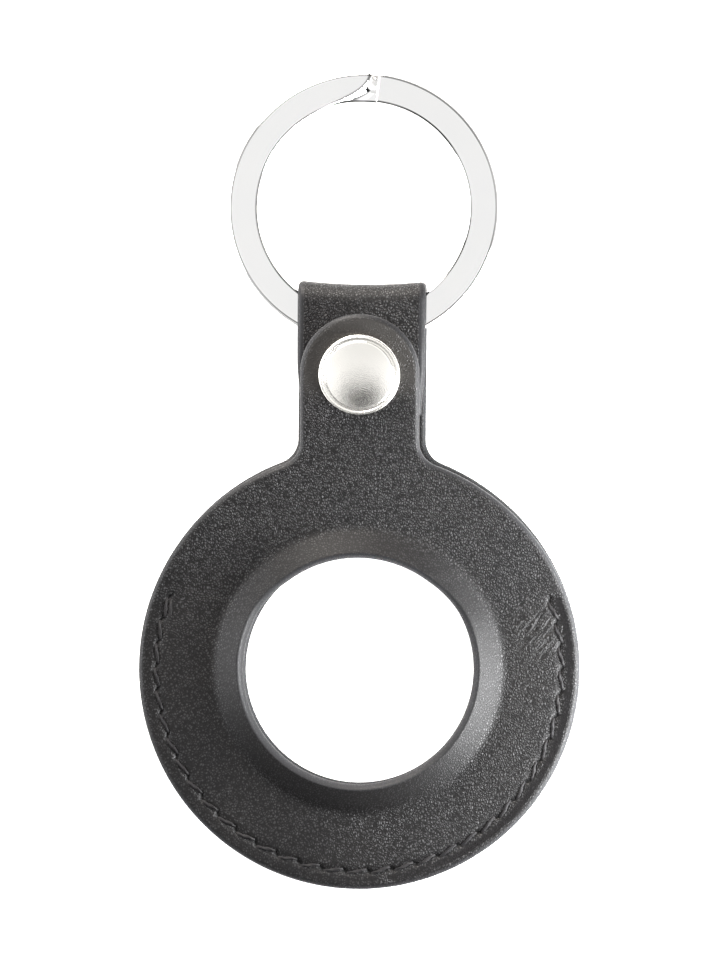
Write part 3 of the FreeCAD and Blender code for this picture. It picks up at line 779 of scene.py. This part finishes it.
def front_edge():
    """The whole edge of the front leather, with its round tongue, and the inward direction."""
    edge, inward = half_edge(TONGUE_WIDTH, TONGUE_CENTRE)
    tip, tip_out = arc((0, TONGUE_CENTRE), TONGUE_WIDTH / 2, 0, math.pi / 2, step=0.35)
    edge, inward = np.concatenate([edge, tip]), np.concatenate([inward, -tip_out])
    left, left_in = mirrored(edge, inward)
    top = [[0, TONGUE_CENTRE + TONGUE_WIDTH / 2]]
    return np.concatenate([edge, top, left]), np.concatenate([inward, [[0, -1]], left_in])


def front_rows():
    """Rows from the outer edge over the top, round the lip and back underneath."""
    edge, inward = front_edge()
    depth = margin_depth(edge)
    inner = edge + depth * inward
    ray = edge / np.linalg.norm(edge, axis=1, keepdims=True)
    foot = collar_middle[0][0] * ray
    rows = Rows()

    def pressed(plan):
        slit = slit_share(plan)
        furrow = FURROW_DEPTH * furrow_share(plan, FURROW_WIDTH)
        height = LEATHER - furrow - SLIT_DEPTH * slit + undulation(plan)
        worn = handled(plan)
        rows.add(plan, height, slit=slit, smooth=np.maximum(burnished(plan), worn), worn=worn)

    rows.round_edge(edge, inward, EDGE_TURNS)
    for inset in SEAM_ROWS:
        reach = EDGE_ROUND + (inset - EDGE_ROUND) * (depth - EDGE_ROUND) / (MARGIN - EDGE_ROUND)
        pressed(edge + reach * inward)
    for share in np.linspace(0, 1, 9)[:-1]:
        pressed((1 - share) * inner + share * foot)
    for (radius, height), (out, up) in zip(collar_middle, collar_to_top):
        moulded = MOULDED * (1 - smooth_step(radius, *MOULDED_SPAN))
        rows.add((radius + LEATHER / 2 * out) * ray, height + LEATHER / 2 * up, moulded=moulded)
    (radius, height), (out, up) = collar_middle[-1], collar_to_top[-1]
    for turn in LIP_TURNS:
        forward, across = LIP_ROUND * math.cos(turn), LEATHER / 2 * math.sin(turn)
        lip_radius = radius - forward * up + across * out
        rows.add(lip_radius * ray, height + forward * out + across * up, paint=1.0)
    for (radius, height), (out, up) in zip(collar_middle[::-3], collar_to_top[::-3]):
        rows.add((radius - LEATHER / 2 * out) * ray, height - LEATHER / 2 * up, flesh=1.0)
    for share in np.linspace(0, 1, 5)[1:]:
        rows.add((1 - share) * foot + share * inner, 0.0, flesh=1.0)
    for inset in HIDDEN_ROWS[::-1]:
        rows.add(edge + inset * inward, 0.0, flesh=1.0)
    return rows.arrays()


front_plan, front_height, front_marks = front_rows()
front_y, front_z = laid(front_plan[..., 1], front_height, FOLD_TURNS)
front_points = np.stack([front_plan[..., 0], front_y, FRONT_BASE + front_z], axis=-1).reshape(-1, 3)
front_faces = grid_faces(*front_plan.shape[:2], wrap_rows=True)
front_leather = add_piece("front_leather", front_points, front_faces,
                          black_leather, front_marks)
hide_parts("front_panel", "front_flap")
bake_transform(front_leather)

# %% [markdown]
# ## Back leather and strap
#
# The back leather is flat under the disc and runs on as the strap: up the back, over the ring and down
# again under the tongue. The disc is a grid like the front's, with the neck left open. The strap carries on
# from that opening: its sections repeat the opening's outline along the path of the fold.

# %% The strap's path
STRAP_WIDTH = 14.2
STRAP_ROOT = 26.5
FOLD_CENTRE = 41.198
FOLD_RADIUS = 1.5
FOLD_WALL = 0.8
SLOPE_START = 35.74
SLOPE_BEND = 1.6
STRAP_END = 28.2
QUARTER = FOLD_RADIUS * math.pi / 2

level_run = FOLD_CENTRE - SLOPE_START - SLOPE_BEND / 2
strap_lengths = np.cumsum([FOLD_CENTRE, QUARTER, FOLD_WALL, QUARTER, level_run, SLOPE_BEND])
strap_headings = [0, math.pi / 2, math.pi / 2, math.pi, math.pi, math.pi + INCLINE]
STRAP_TURNS = list(zip(strap_lengths, strap_headings))
STRAP_STOP = strap_lengths[-1] + (SLOPE_START - STRAP_END) / math.cos(INCLINE) - SLOPE_BEND / 2
print(f"strap {STRAP_STOP - STRAP_ROOT:.1f} mm long from its root")

# %% Disc of the back leather
WINDOW_RADIUS = 12.65
NECK_POINTS = 30
BACK_FURROW_DEPTH = 0.5
BACK_FURROW_WIDTH = 0.6


def back_edge():
    """Edge from the neck's left corner round to its right one, then the open neck, and the edge's count."""
    edge, inward = half_edge(STRAP_WIDTH, STRAP_ROOT)
    edge = np.concatenate([edge, [[STRAP_WIDTH / 2, STRAP_ROOT]]])
    inward = np.concatenate([inward, [[-1, 0]]])
    left, left_in = mirrored(edge, inward)
    across = np.linspace(STRAP_WIDTH / 2 - MARGIN, MARGIN - STRAP_WIDTH / 2, NECK_POINTS)[1:-1]
    neck = np.stack([across, np.full(len(across), STRAP_ROOT)], axis=1)
    columns = np.concatenate([left, edge, neck])
    return columns, np.concatenate([left_in, inward, np.zeros_like(neck)]), len(left) + len(edge)


def back_rows():
    """Rows from the seam under the disc round the outer edge, over the top and through the window."""
    edge, inward, edge_count = back_edge()
    inner = edge + MARGIN * inward
    ray = inner / np.linalg.norm(inner, axis=1, keepdims=True)
    reach = (WINDOW_RADIUS + EDGE_ROUND) * ray
    rows = Rows()
    for inset in SEAM_ROWS[::-1]:
        plan = edge + inset * inward
        rows.add(plan, BACK_FURROW_DEPTH * furrow_share(plan, BACK_FURROW_WIDTH))
    rows.round_edge(edge, inward, EDGE_TURNS)
    for inset in (*HIDDEN_ROWS, MARGIN):
        rows.add(edge + inset * inward, LEATHER, flesh=1.0)
    margin_rows = len(rows.plans)
    for share in np.linspace(0, 1, 8)[1:]:
        rows.add((1 - share) * inner + share * reach, LEATHER, flesh=1.0)
    rows.round_edge(WINDOW_RADIUS * ray, ray, EDGE_TURNS[-2:0:-1])
    for share in np.linspace(1, 0, 14):
        rows.add((1 - share) * inner + share * reach, 0.0)
    return rows.arrays(), margin_rows, edge_count


(back_plan, back_height, back_marks), margin_rows, edge_count = back_rows()
print("disc grid", back_height.shape, "with", margin_rows, "rows in the margin")

# %% [markdown]
# The strap is not quite a bent sheet. The head of the snap's post is pressed into its back, the ring pulls
# the fold's corners out further than its middle, and the free end is cut a little narrower, so that the
# tongue above hides it.

# %% How the strap differs from a plain sheet
POST_PLACE = 33.141
DIMPLE_DEPTH = 0.45
DIMPLE_EDGE = (2.75, 3.35)
SAG_MIDDLE = 0.68
SAG_EASE = 0.40
SAG_SPAN = (36.0, 41.0)
TAPER = 0.06
TAPER_LENGTH = 6.0


def post_dimple(x, length):
    """How deep the post's head is pressed in."""
    return DIMPLE_DEPTH * (1 - smooth_step(np.hypot(x, length - POST_PLACE), *DIMPLE_EDGE))


def fold_sag(x, y):
    """How far the fold shifts along Y: back towards the disc, and less so at its corners."""
    return (SAG_EASE * (2 * x / STRAP_WIDTH) ** 2 - SAG_MIDDLE) * smooth_step(y, *SAG_SPAN)


def strap_taper(length):
    """The share of its width that the strap keeps."""
    return 1 - TAPER * smooth_step(length, STRAP_STOP - TAPER_LENGTH, STRAP_STOP)


print(f"fold sags by {SAG_MIDDLE} mm in the middle")

# %% Faces and sections of the strap
STRAP_CAP = np.radians(np.linspace(0, 80, 5))
CAP_THINNEST = 0.2
STRAIGHT_STEP, FOLD_STEP, FRONT_STEP = 0.3, 0.14, 0.35


def opening_loop(rows, columns):
    """Point numbers round the open neck, starting under its right corner."""
    last = (rows - 1) * columns
    right, left = edge_count - 1, 0
    neck = list(range(edge_count, columns))
    top = (margin_rows - 1) * columns
    up = [last + right] + [row * columns + right for row in range(margin_rows)]
    over = [top + column for column in neck]
    down = [row * columns + left for row in reversed(range(margin_rows))] + [last + left]
    under = [last + column for column in reversed(neck)]
    return up + over + down + under


def disc_faces(rows, columns):
    """The margin's faces leave the neck open, and all others go round the whole disc."""
    faces = []
    for face in grid_faces(rows, columns, wrap_rows=True):
        in_margin = face[0] // columns < margin_rows - 1 or face[0] // columns == rows - 1
        at_neck = any(point % columns >= edge_count for point in face)
        across = abs(face[0] % columns - face[1] % columns) > 1
        if not (in_margin and (at_neck or across)):
            faces.append(face)
    return faces


def strap_sections():
    """Length and thickness of each section along the strap, and whether it is on the painted free end."""
    fold_start, fold_stop = FOLD_CENTRE - 0.2, strap_lengths[3] + 0.3
    straight = np.arange(STRAP_ROOT + STRAIGHT_STEP, fold_start, STRAIGHT_STEP)
    fold = np.arange(fold_start, fold_stop, FOLD_STEP)
    front = np.arange(fold_stop, STRAP_STOP - EDGE_ROUND, FRONT_STEP)
    sections = [(length, 1.0, False) for length in np.concatenate([straight, fold, front])]
    for turn in STRAP_CAP:
        length = STRAP_STOP - EDGE_ROUND + EDGE_ROUND * math.sin(turn)
        thickness = CAP_THINNEST + (1 - CAP_THINNEST) * math.cos(turn)
        sections.append((length, thickness, True))
    return sections


def strap_grid(loop):
    """The strap's points, section by section: across, along and up in the flat, and their marks."""
    loop_x = back_plan.reshape(-1, 2)[loop, 0]
    loop_height = back_height.ravel()[loop]
    outer = loop_height < LEATHER / 3
    across, lengths, heights = [], [], []
    marks = {mark: [] for mark in MARKS}
    for length, thickness, painted in strap_sections():
        height = loop_height + outer * post_dimple(loop_x, length)
        across.append(loop_x * strap_taper(length))
        lengths.append(np.full(len(loop), length))
        heights.append(LEATHER / 2 + thickness * (height - LEATHER / 2))
        for mark, values in marks.items():
            whole = painted and mark == "paint"
            values.append(np.ones(len(loop)) if whole else back_marks[mark].ravel()[loop])
    return across, lengths, heights, marks


def strap_faces(loop, first, sections):
    """Faces from the open neck to the first section, along the strap and over its free end."""
    faces = []
    for spot, point in enumerate(loop):
        after = (spot + 1) % len(loop)
        faces.append((point, loop[after], first + after, first + spot))
    faces += grid_faces(sections, len(loop), first=first)
    last = first + (sections - 1) * len(loop)
    faces.append(tuple(range(last, last + len(loop))))
    return faces


print(len(strap_sections()), "sections along the strap")

# %% [markdown]
# Disc and strap become one mesh: the disc's points come first, then the strap's sections, and all of them
# are laid along the strap's path together.

# %% Back leather
def joined(disc, strap):
    """The disc's values and then the strap's, in one row."""
    return np.concatenate([disc.ravel(), *strap])


neck_loop = opening_loop(*back_height.shape)
strap_x, strap_length, strap_height, strap_marks = strap_grid(neck_loop)
back_x = joined(back_plan[..., 0], strap_x)
back_length = joined(back_plan[..., 1], strap_length)
back_up = joined(back_height, strap_height)
back_y, back_z = laid(back_length, back_up - LEATHER / 2, STRAP_TURNS)
back_y = back_y + fold_sag(back_x, back_y)
back_points = np.stack([back_x, back_y, back_z + LEATHER / 2], axis=1)
back_faces = disc_faces(*back_height.shape) + strap_faces(neck_loop, back_height.size, len(strap_x))
back_marks = {mark: joined(back_marks[mark], values) for mark, values in strap_marks.items()}
back_leather = add_piece("back_leather", back_points, back_faces,
                         black_leather, back_marks)
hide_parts("back_panel", "strap_loop")
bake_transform(back_leather)

# %% [markdown]
# ## Stitches
#
# A lock stitch shows as one short run of thread between two holes, on the front and on the back. The runs
# are alike and follow an arc, so Geometry Nodes make them: one run is a bent curve with a flattened,
# twisted section, and it is set on points along the seam. Every run leans a little, because the holes are
# slanted slits. At the left end the seam is locked with one extra run beside the last.

# %% A node tree for a row of stitches
LOCK_SHIFT = 1.2
WANDER = 0.06
TWIST = 7.0
FLATNESS = (1.0, 0.72, 1.0)
RUN_POINTS, SECTION_POINTS = 14, 10
STITCH_SIZES = {
    "Seam radius": "NodeSocketFloat",
    "First angle": "NodeSocketFloat",
    "Sweep": "NodeSocketFloat",
    "Stitches": "NodeSocketInt",
    "Run": "NodeSocketFloat",
    "Lean": "NodeSocketFloat",
    "Thread": "NodeSocketFloat",
    "Arch": "NodeSocketFloat",
    "Height": "NodeSocketFloat",
    "Seed": "NodeSocketInt",
}


def stitch_tree(material):
    """The tree, and the identifier of each named input."""
    tree = bpy.data.node_groups.new("row of stitches", "GeometryNodeTree")
    tree.interface.new_socket("Geometry", in_out="OUTPUT", socket_type="NodeSocketGeometry")
    named = {}
    for title, kind in STITCH_SIZES.items():
        named[title] = tree.interface.new_socket(title, in_out="INPUT", socket_type=kind).identifier
    nodes = Nodes(tree)
    entry = tree.nodes.new("NodeGroupInput")
    size = {title: Signal(nodes, entry.outputs[title]) for title in STITCH_SIZES}

    index = nodes.node("GeometryNodeInputIndex")
    extra = index > size["Stitches"] - 0.5
    angle = size["First angle"] - (index - extra + 0.5) * size["Sweep"] / size["Stitches"]
    radius = size["Seam radius"] - extra * size["Thread"] * LOCK_SHIFT
    across = {"X": radius * angle.math("COSINE", angle), "Y": radius * angle.math("SINE", angle)}
    place = nodes.node("ShaderNodeCombineXYZ", None, {**across, "Z": size["Height"]})
    points = nodes.node("GeometryNodePoints", None, {"Count": size["Stitches"] + 1, "Position": place})

    spread = {2: -WANDER, 3: WANDER, "Seed": size["Seed"]}
    wander = nodes.node("FunctionNodeRandomValue", {"data_type": "FLOAT"}, spread, output=1)
    turn = angle - math.pi / 2 + size["Lean"] + wander
    rotation = nodes.node("ShaderNodeCombineXYZ", None, {"Z": turn})

    half = size["Run"] * 0.5
    start = nodes.node("ShaderNodeCombineXYZ", None, {"X": 0 - half, "Z": 0 - size["Arch"]})
    middle = nodes.node("ShaderNodeCombineXYZ", None, {"Z": size["Arch"]})
    end = nodes.node("ShaderNodeCombineXYZ", None, {"X": half, "Z": 0 - size["Arch"]})
    bend = {"Resolution": RUN_POINTS, "Start": start, "Middle": middle, "End": end}
    run = nodes.node("GeometryNodeCurveQuadraticBezier", None, bend)
    share = nodes.node("GeometryNodeSplineParameter")
    run = nodes.node("GeometryNodeSetCurveTilt", None, {"Curve": run, "Tilt": share * TWIST})
    section = {"Resolution": SECTION_POINTS, "Radius": size["Thread"] * 0.5}
    circle = nodes.node("GeometryNodeCurvePrimitiveCircle", None, section)
    flattened = nodes.node("GeometryNodeTransform", None, {"Geometry": circle, "Scale": FLATNESS})
    body = {"Curve": run, "Profile Curve": flattened, "Fill Caps": True}
    thread = nodes.node("GeometryNodeCurveToMesh", None, body)
    thread = nodes.node("GeometryNodeSetShadeSmooth", None, {0: thread})

    spots = {"Points": points, "Instance": thread, "Rotation": rotation}
    rows_of_thread = nodes.node("GeometryNodeInstanceOnPoints", None, spots)
    real = nodes.node("GeometryNodeRealizeInstances", None, {0: rows_of_thread})
    dressed = nodes.node("GeometryNodeSetMaterial", None, {"Geometry": real, "Material": material})
    leave = tree.nodes.new("NodeGroupOutput")
    tree.links.new(dressed.socket, leave.inputs[0])
    return tree, named


stitch_nodes, stitch_inputs = stitch_tree(black_thread)
print("stitch tree with", len(stitch_nodes.nodes), "nodes")

# %% Both rows of stitches
THREAD = 0.44
STITCH_RUN = 2.15
STITCH_LEAN = math.radians(16)


def sew(name, node, lean, arch, height, seed):
    """One row of stitches as a plain mesh that rides on the holder."""
    carrier = put(f"{name}_carrier", bpy.data.meshes.new(name))
    modifier = carrier.modifiers.new("stitches", "NODES")
    modifier.node_group = stitch_nodes
    values = {
        "Seam radius": SEAM_RADIUS * MM,
        "First angle": SEAM_RISE,
        "Sweep": SEAM_SWEEP,
        "Stitches": STITCHES,
        "Run": STITCH_RUN * MM,
        "Lean": lean,
        "Thread": THREAD * MM,
        "Arch": arch * MM,
        "Height": height * MM,
        "Seed": seed,
    }
    for title, value in values.items():
        modifier[stitch_inputs[title]] = value
    sewn = carrier.evaluated_get(bpy.context.evaluated_depsgraph_get())
    mesh = bpy.data.meshes.new_from_object(sewn)
    mesh.materials.clear()
    mesh.materials.append(black_thread)
    bpy.data.objects.remove(carrier)
    piece = put(name, mesh)
    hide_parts(node)
    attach(piece, "holder")
    print(f"{name}: {len(mesh.polygons)} faces")


sew("front_stitches", "needle_thread", lean=STITCH_LEAN, arch=0.22, height=2.34, seed=3)
sew("back_stitches", "bobbin_thread", lean=-STITCH_LEAN, arch=-0.16, height=0.30, seed=8)

# %% [markdown]
# ## Snap
#
# A snap is four turned or pressed pieces: the cap on the tongue, the socket with its spring under it, the
# stud on the strap and the post that holds the stud from the back. All but the spring are round about one
# axis, so one lathe helper makes them from their outlines. Corners get small roundings, because pressed
# metal has no sharp edge and a rounded one catches light.

# %% Lathe
ROUNDING_POINTS = 7


def rounded(corners):
    """An outline of (radius, height, rounding) corners, with each rounding as a short curve."""
    outline = []
    for spot, (radius, height, rounding) in enumerate(corners):
        corner = np.array([radius, height])
        if not rounding:
            outline.append(corner)
            continue
        before = np.array(corners[spot - 1][:2]) - corner
        after = np.array(corners[(spot + 1) % len(corners)][:2]) - corner
        near = corner + before / np.linalg.norm(before) * rounding
        far = corner + after / np.linalg.norm(after) * rounding
        for share in np.linspace(0, 1, ROUNDING_POINTS):
            outline.append((1 - share) ** 2 * near + 2 * share * (1 - share) * corner + share ** 2 * far)
    return np.array(outline)


def moved(points, place):
    """Points carried from a piece's own axes to its place on the holder."""
    return points @ np.array(place.to_3x3()).T + np.array(place.translation)


def lathe(name, outline, place, material, closed=False, sides=96):
    """Turns an outline in millimetres round the axis of its place."""
    angles = np.linspace(0, 2 * math.pi, sides, endpoint=False)
    radius, height = outline[:, :1], outline[:, 1:]
    x, y = radius * np.cos(angles), radius * np.sin(angles)
    points = np.stack([x, y, np.broadcast_to(height, x.shape)], axis=-1).reshape(-1, 3)
    faces = grid_faces(len(outline), sides, wrap_rows=closed)
    return add_piece(name, moved(points, place), faces, material)


SNAP_PLACE = Matrix.Translation((0, 32.9, 6.1189)) @ Matrix.Rotation(INCLINE, 4, "X")
print("snap axis leans", round(math.degrees(INCLINE), 1), "degrees")

# %% [markdown]
# The cap is the snap's one visible piece. It is pressed from sheet: a low dome, a fine groove and a rolled
# rim, with a shank that goes through the tongue and is rolled over below it.

# %% Cap
CAP_RADIUS = 4.57
CAP_TOP = 2.6
CAP_GROOVE = 3.9
GROOVE_SECTION = ((-0.05, -0.42), (0.0, -0.50), (0.06, -0.44))
DOME_FALL = 0.36
DOME_CURVE = 2.4
RIM_WIDTH = 0.34
RIM_HEIGHT = 0.5
SHANK_RADIUS = 1.4
ROLL_RADIUS = 1.75
ROLL_TOP, ROLL_END = -0.3, -0.5
ROLL_ROUND = 0.08


def cap_outline():
    """Domed top, a fine groove, a rolled rim, the flat underside and the shank with its rolled end."""
    radius = np.linspace(0, CAP_GROOVE - 0.12, 22)
    dome = np.stack([radius, CAP_TOP - DOME_FALL * (radius / CAP_GROOVE) ** DOME_CURVE], axis=1)
    groove = np.array([CAP_GROOVE, CAP_TOP]) + np.array(GROOVE_SECTION)
    turns = np.radians(np.linspace(130, -75, 18))
    rim_radius = CAP_RADIUS - RIM_WIDTH + RIM_WIDTH * np.cos(turns)
    rim = np.stack([rim_radius, LEATHER + RIM_HEIGHT + RIM_HEIGHT * np.sin(turns)], axis=1)
    shank = [(SHANK_RADIUS, LEATHER, 0), (SHANK_RADIUS, ROLL_TOP, 0)]
    roll = [(ROLL_RADIUS, ROLL_TOP, ROLL_ROUND), (ROLL_RADIUS, ROLL_END, ROLL_ROUND), (0, ROLL_END, 0)]
    return np.concatenate([dome, groove, rim, rounded(shank + roll)])


snap_cap = lathe("snap_cap_dressed", cap_outline(), SNAP_PLACE, satin_nickel, sides=128)
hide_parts("snap_cap")
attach(snap_cap, "flap")

# %% [markdown]
# The hidden snap pieces are drawn as corners of their outlines: radius, height above the tongue's underside
# and rounding, in millimetres. Socket and stud have a hole, so their outlines are closed loops. The post's
# outline starts and ends on its axis, and its heights count from the back of the holder.

# %% Socket, stud and post
SOCKET_TOP = [(1.5, 0, 0.05), (3.9, 0, 0.25)]
SOCKET_SKIRT = [(3.9, -1.1, 0.3), (3.4, -1.45, 0.2), (2.6, -1.45, 0.1), (2.4, -1.3, 0.1)]
SOCKET_MOUTH = [(1.95, -1.3, 0.06), (1.95, -1.23, 0)]
SPRING_GROOVE = [(2.5, -1.23, 0.05), (2.5, -0.73, 0.05)]
SOCKET_BORE = [(1.95, -0.73, 0.05), (1.95, -0.3, 0.05), (1.5, -0.3, 0.05)]
SOCKET = SOCKET_TOP + SOCKET_SKIRT + SOCKET_MOUTH + SPRING_GROOVE + SOCKET_BORE
STUD_FOOT = [(1.0, -1.95, 0.05), (2.6, -1.95, 0.05), (2.6, -1.55, 0.15), (1.6, -1.55, 0.2)]
STUD_NECK = [(1.4, -1.3, 0.1), (1.4, -0.86, 0.1)]
STUD_HEAD = [(1.72, -0.72, 0.08), (1.66, -0.53, 0.1), (1.0, -0.53, 0.1)]
STUD = STUD_FOOT + STUD_NECK + STUD_HEAD
POST_HEAD = [(0, 0.02, 0), (2.2, 0.02, 0.3), (2.9, 0.12, 0.1), (2.9, 0.47, 0.08)]
POST_SHANK = [(0.75, 0.47, 0.1), (0.75, 5.5, 0.15), (0, 5.5, 0)]
POST = POST_HEAD + POST_SHANK
POST_AXIS = Matrix.Translation((0, POST_PLACE, 0))

snap_socket = lathe("snap_socket_dressed", rounded(SOCKET), SNAP_PLACE, nickel, closed=True)
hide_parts("snap_socket")
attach(snap_socket, "flap")
snap_stud = lathe("snap_stud_dressed", rounded(STUD), SNAP_PLACE, nickel, closed=True)
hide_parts("snap_stud")
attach(snap_stud, "holder")
snap_post = lathe("snap_post_dressed", rounded(POST), POST_AXIS, nickel)
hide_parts("snap_post")
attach(snap_post, "holder")

# %% [markdown]
# ## Wire pieces
#
# The spring in the socket is a round wire bent into an open ring. The key ring is a flat wire wound twice,
# with a step where it changes from one turn to the other. Both are one section carried along an arc, with
# closed ends.

# %% Wire helper
def wire_piece(name, sections, place, material, marks=None):
    """Joins sections, each a loop of points in millimetres, and closes both ends."""
    sections = np.asarray(sections)
    count, around = sections.shape[:2]
    points = moved(sections.reshape(-1, 3), place)
    faces = grid_faces(count, around)
    faces.append(tuple(range(around)))
    faces.append(tuple(range((count - 1) * around, count * around)))
    return add_piece(name, points, faces, material, marks)


def wire_section(outline, angle, radius, level):
    """A section of (outward, upward) points, set up at an angle of a ring."""
    out = radius + outline[:, 0]
    return np.stack([out * math.cos(angle), out * math.sin(angle), level + outline[:, 1]], axis=1)


print("wire helper ready")

# %% Spring
SPRING_WIRE = 0.44
SPRING_RADIUS = 1.84
SPRING_LEVEL = -0.98
SPRING_MOUTH = math.radians(50)

wire_turns = np.linspace(0, 2 * math.pi, 12, endpoint=False)
wire_round = SPRING_WIRE / 2 * np.stack([np.cos(wire_turns), np.sin(wire_turns)], axis=1)
spring_angles = np.linspace(SPRING_MOUTH / 2, 2 * math.pi - SPRING_MOUTH / 2, 80)
spring_sections = [wire_section(wire_round, angle, SPRING_RADIUS, SPRING_LEVEL) for angle in spring_angles]
socket_spring = wire_piece("socket_spring_dressed", spring_sections, SNAP_PLACE,
                           spring_steel)
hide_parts("socket_spring")
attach(socket_spring, "flap")

# %% [markdown]
# At its step the ring's flat wire twists: the inner edge leaves the front turn early and the outer edge
# only just before the split, so the step runs across the wire in a curve. The mesh marks the lines along
# the bevels, one value for each point of a rounded corner, and the crest of the step. The finish paints
# both dark: a painted reflection of dark surroundings on the bevels and painted shade at the crest.

# %% Key ring
RING_CENTRE = 51.1
RING_PIVOT = Vector((0, 39.0989, 2.5))
RING_DROOP = math.radians(-3.2202)
RING_RADIUS = 15.0
RING_BAND = 3.25
RING_TURN = 0.97
RING_GAP = 0.06
RING_EDGE = 0.33
RING_SPLIT = math.radians(84)
RING_BACK_END = math.radians(36)
INNER_STEP = math.radians(42)
OUTER_STEP = math.radians(4)
STEP_CURVE = 4
CREST_PAINTED_SHADE = 0.8
CREST_PLACE, CREST_WIDTH = 0.12, 0.07
COARSE_TURN, FINE_TURN = math.radians(1.0), math.radians(0.25)
BEVEL_DARK_REFLECTION = (0, 1, 1, 0, 0, 1, 0.5)
FACE_POINTS = 25


def band_outline():
    """Flat wire with rounded edges and points across its faces, and where its painted dark reflection lines
    run.
    """
    half_turn, half_band = RING_TURN / 2, RING_BAND / 2
    flat_half = half_band - 1.1 * RING_EDGE
    flat = [(out, half_turn, 0) for out in np.linspace(flat_half, -flat_half, FACE_POINTS)]
    front = [(half_band, half_turn, RING_EDGE)] + flat + [(-half_band, half_turn, RING_EDGE)]
    back = [(-out, -height, edge) for out, height, edge in front]
    lines = [BEVEL_DARK_REFLECTION if edge else (0,) for _, _, edge in front + back]
    return rounded(front + back), np.concatenate(lines)


def ring_sections(outline, lines):
    """The wire from the front turn's end round to the step, down, and round again, with its painted dark
    lines.
    """
    turn = 2 * math.pi
    first = np.arange(0, turn - INNER_STEP, COARSE_TURN)
    step = np.arange(turn - INNER_STEP, turn, FINE_TURN)
    second = np.arange(turn, 2 * turn - RING_BACK_END, COARSE_TURN)
    lift = (RING_TURN + RING_GAP) / 2
    outer_share = outline[:, 0] / RING_BAND + 0.5
    step_length = OUTER_STEP + (INNER_STEP - OUTER_STEP) * np.exp(-STEP_CURVE * outer_share)
    sections, marks = [], []
    for along in np.concatenate([first, step, second]):
        fall = np.clip(1 + (along - turn) / step_length, 0, 1)
        level = lift - 2 * lift * smooth_step(fall, 0, 1)
        sections.append(wire_section(outline, RING_SPLIT - along, RING_RADIUS - RING_BAND / 2, level))
        # Painted shade at the step's crest, on top of the painted dark reflection lines along the bevels.
        near_crest = np.exp(-((fall - CREST_PLACE) / CREST_WIDTH) ** 2)
        crest_shade = CREST_PAINTED_SHADE * near_crest * (outline[:, 1] > 0)
        marks.append(np.maximum(lines, crest_shade))
    return sections, np.concatenate(marks)


ring_turn = Matrix.Translation(RING_PIVOT) @ Matrix.Rotation(RING_DROOP, 4, "X")
ring_place = ring_turn @ Matrix.Translation((0, RING_CENTRE - RING_PIVOT.y, 0))
ring_outline, ring_reflection_lines = band_outline()
ring_wire, ring_painted_dark = ring_sections(ring_outline, ring_reflection_lines)
ring_marks = {"line": ring_painted_dark}
key_ring = wire_piece("key_ring_dressed", ring_wire, ring_place, chrome, ring_marks)
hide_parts("key_ring")
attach(key_ring, "ring")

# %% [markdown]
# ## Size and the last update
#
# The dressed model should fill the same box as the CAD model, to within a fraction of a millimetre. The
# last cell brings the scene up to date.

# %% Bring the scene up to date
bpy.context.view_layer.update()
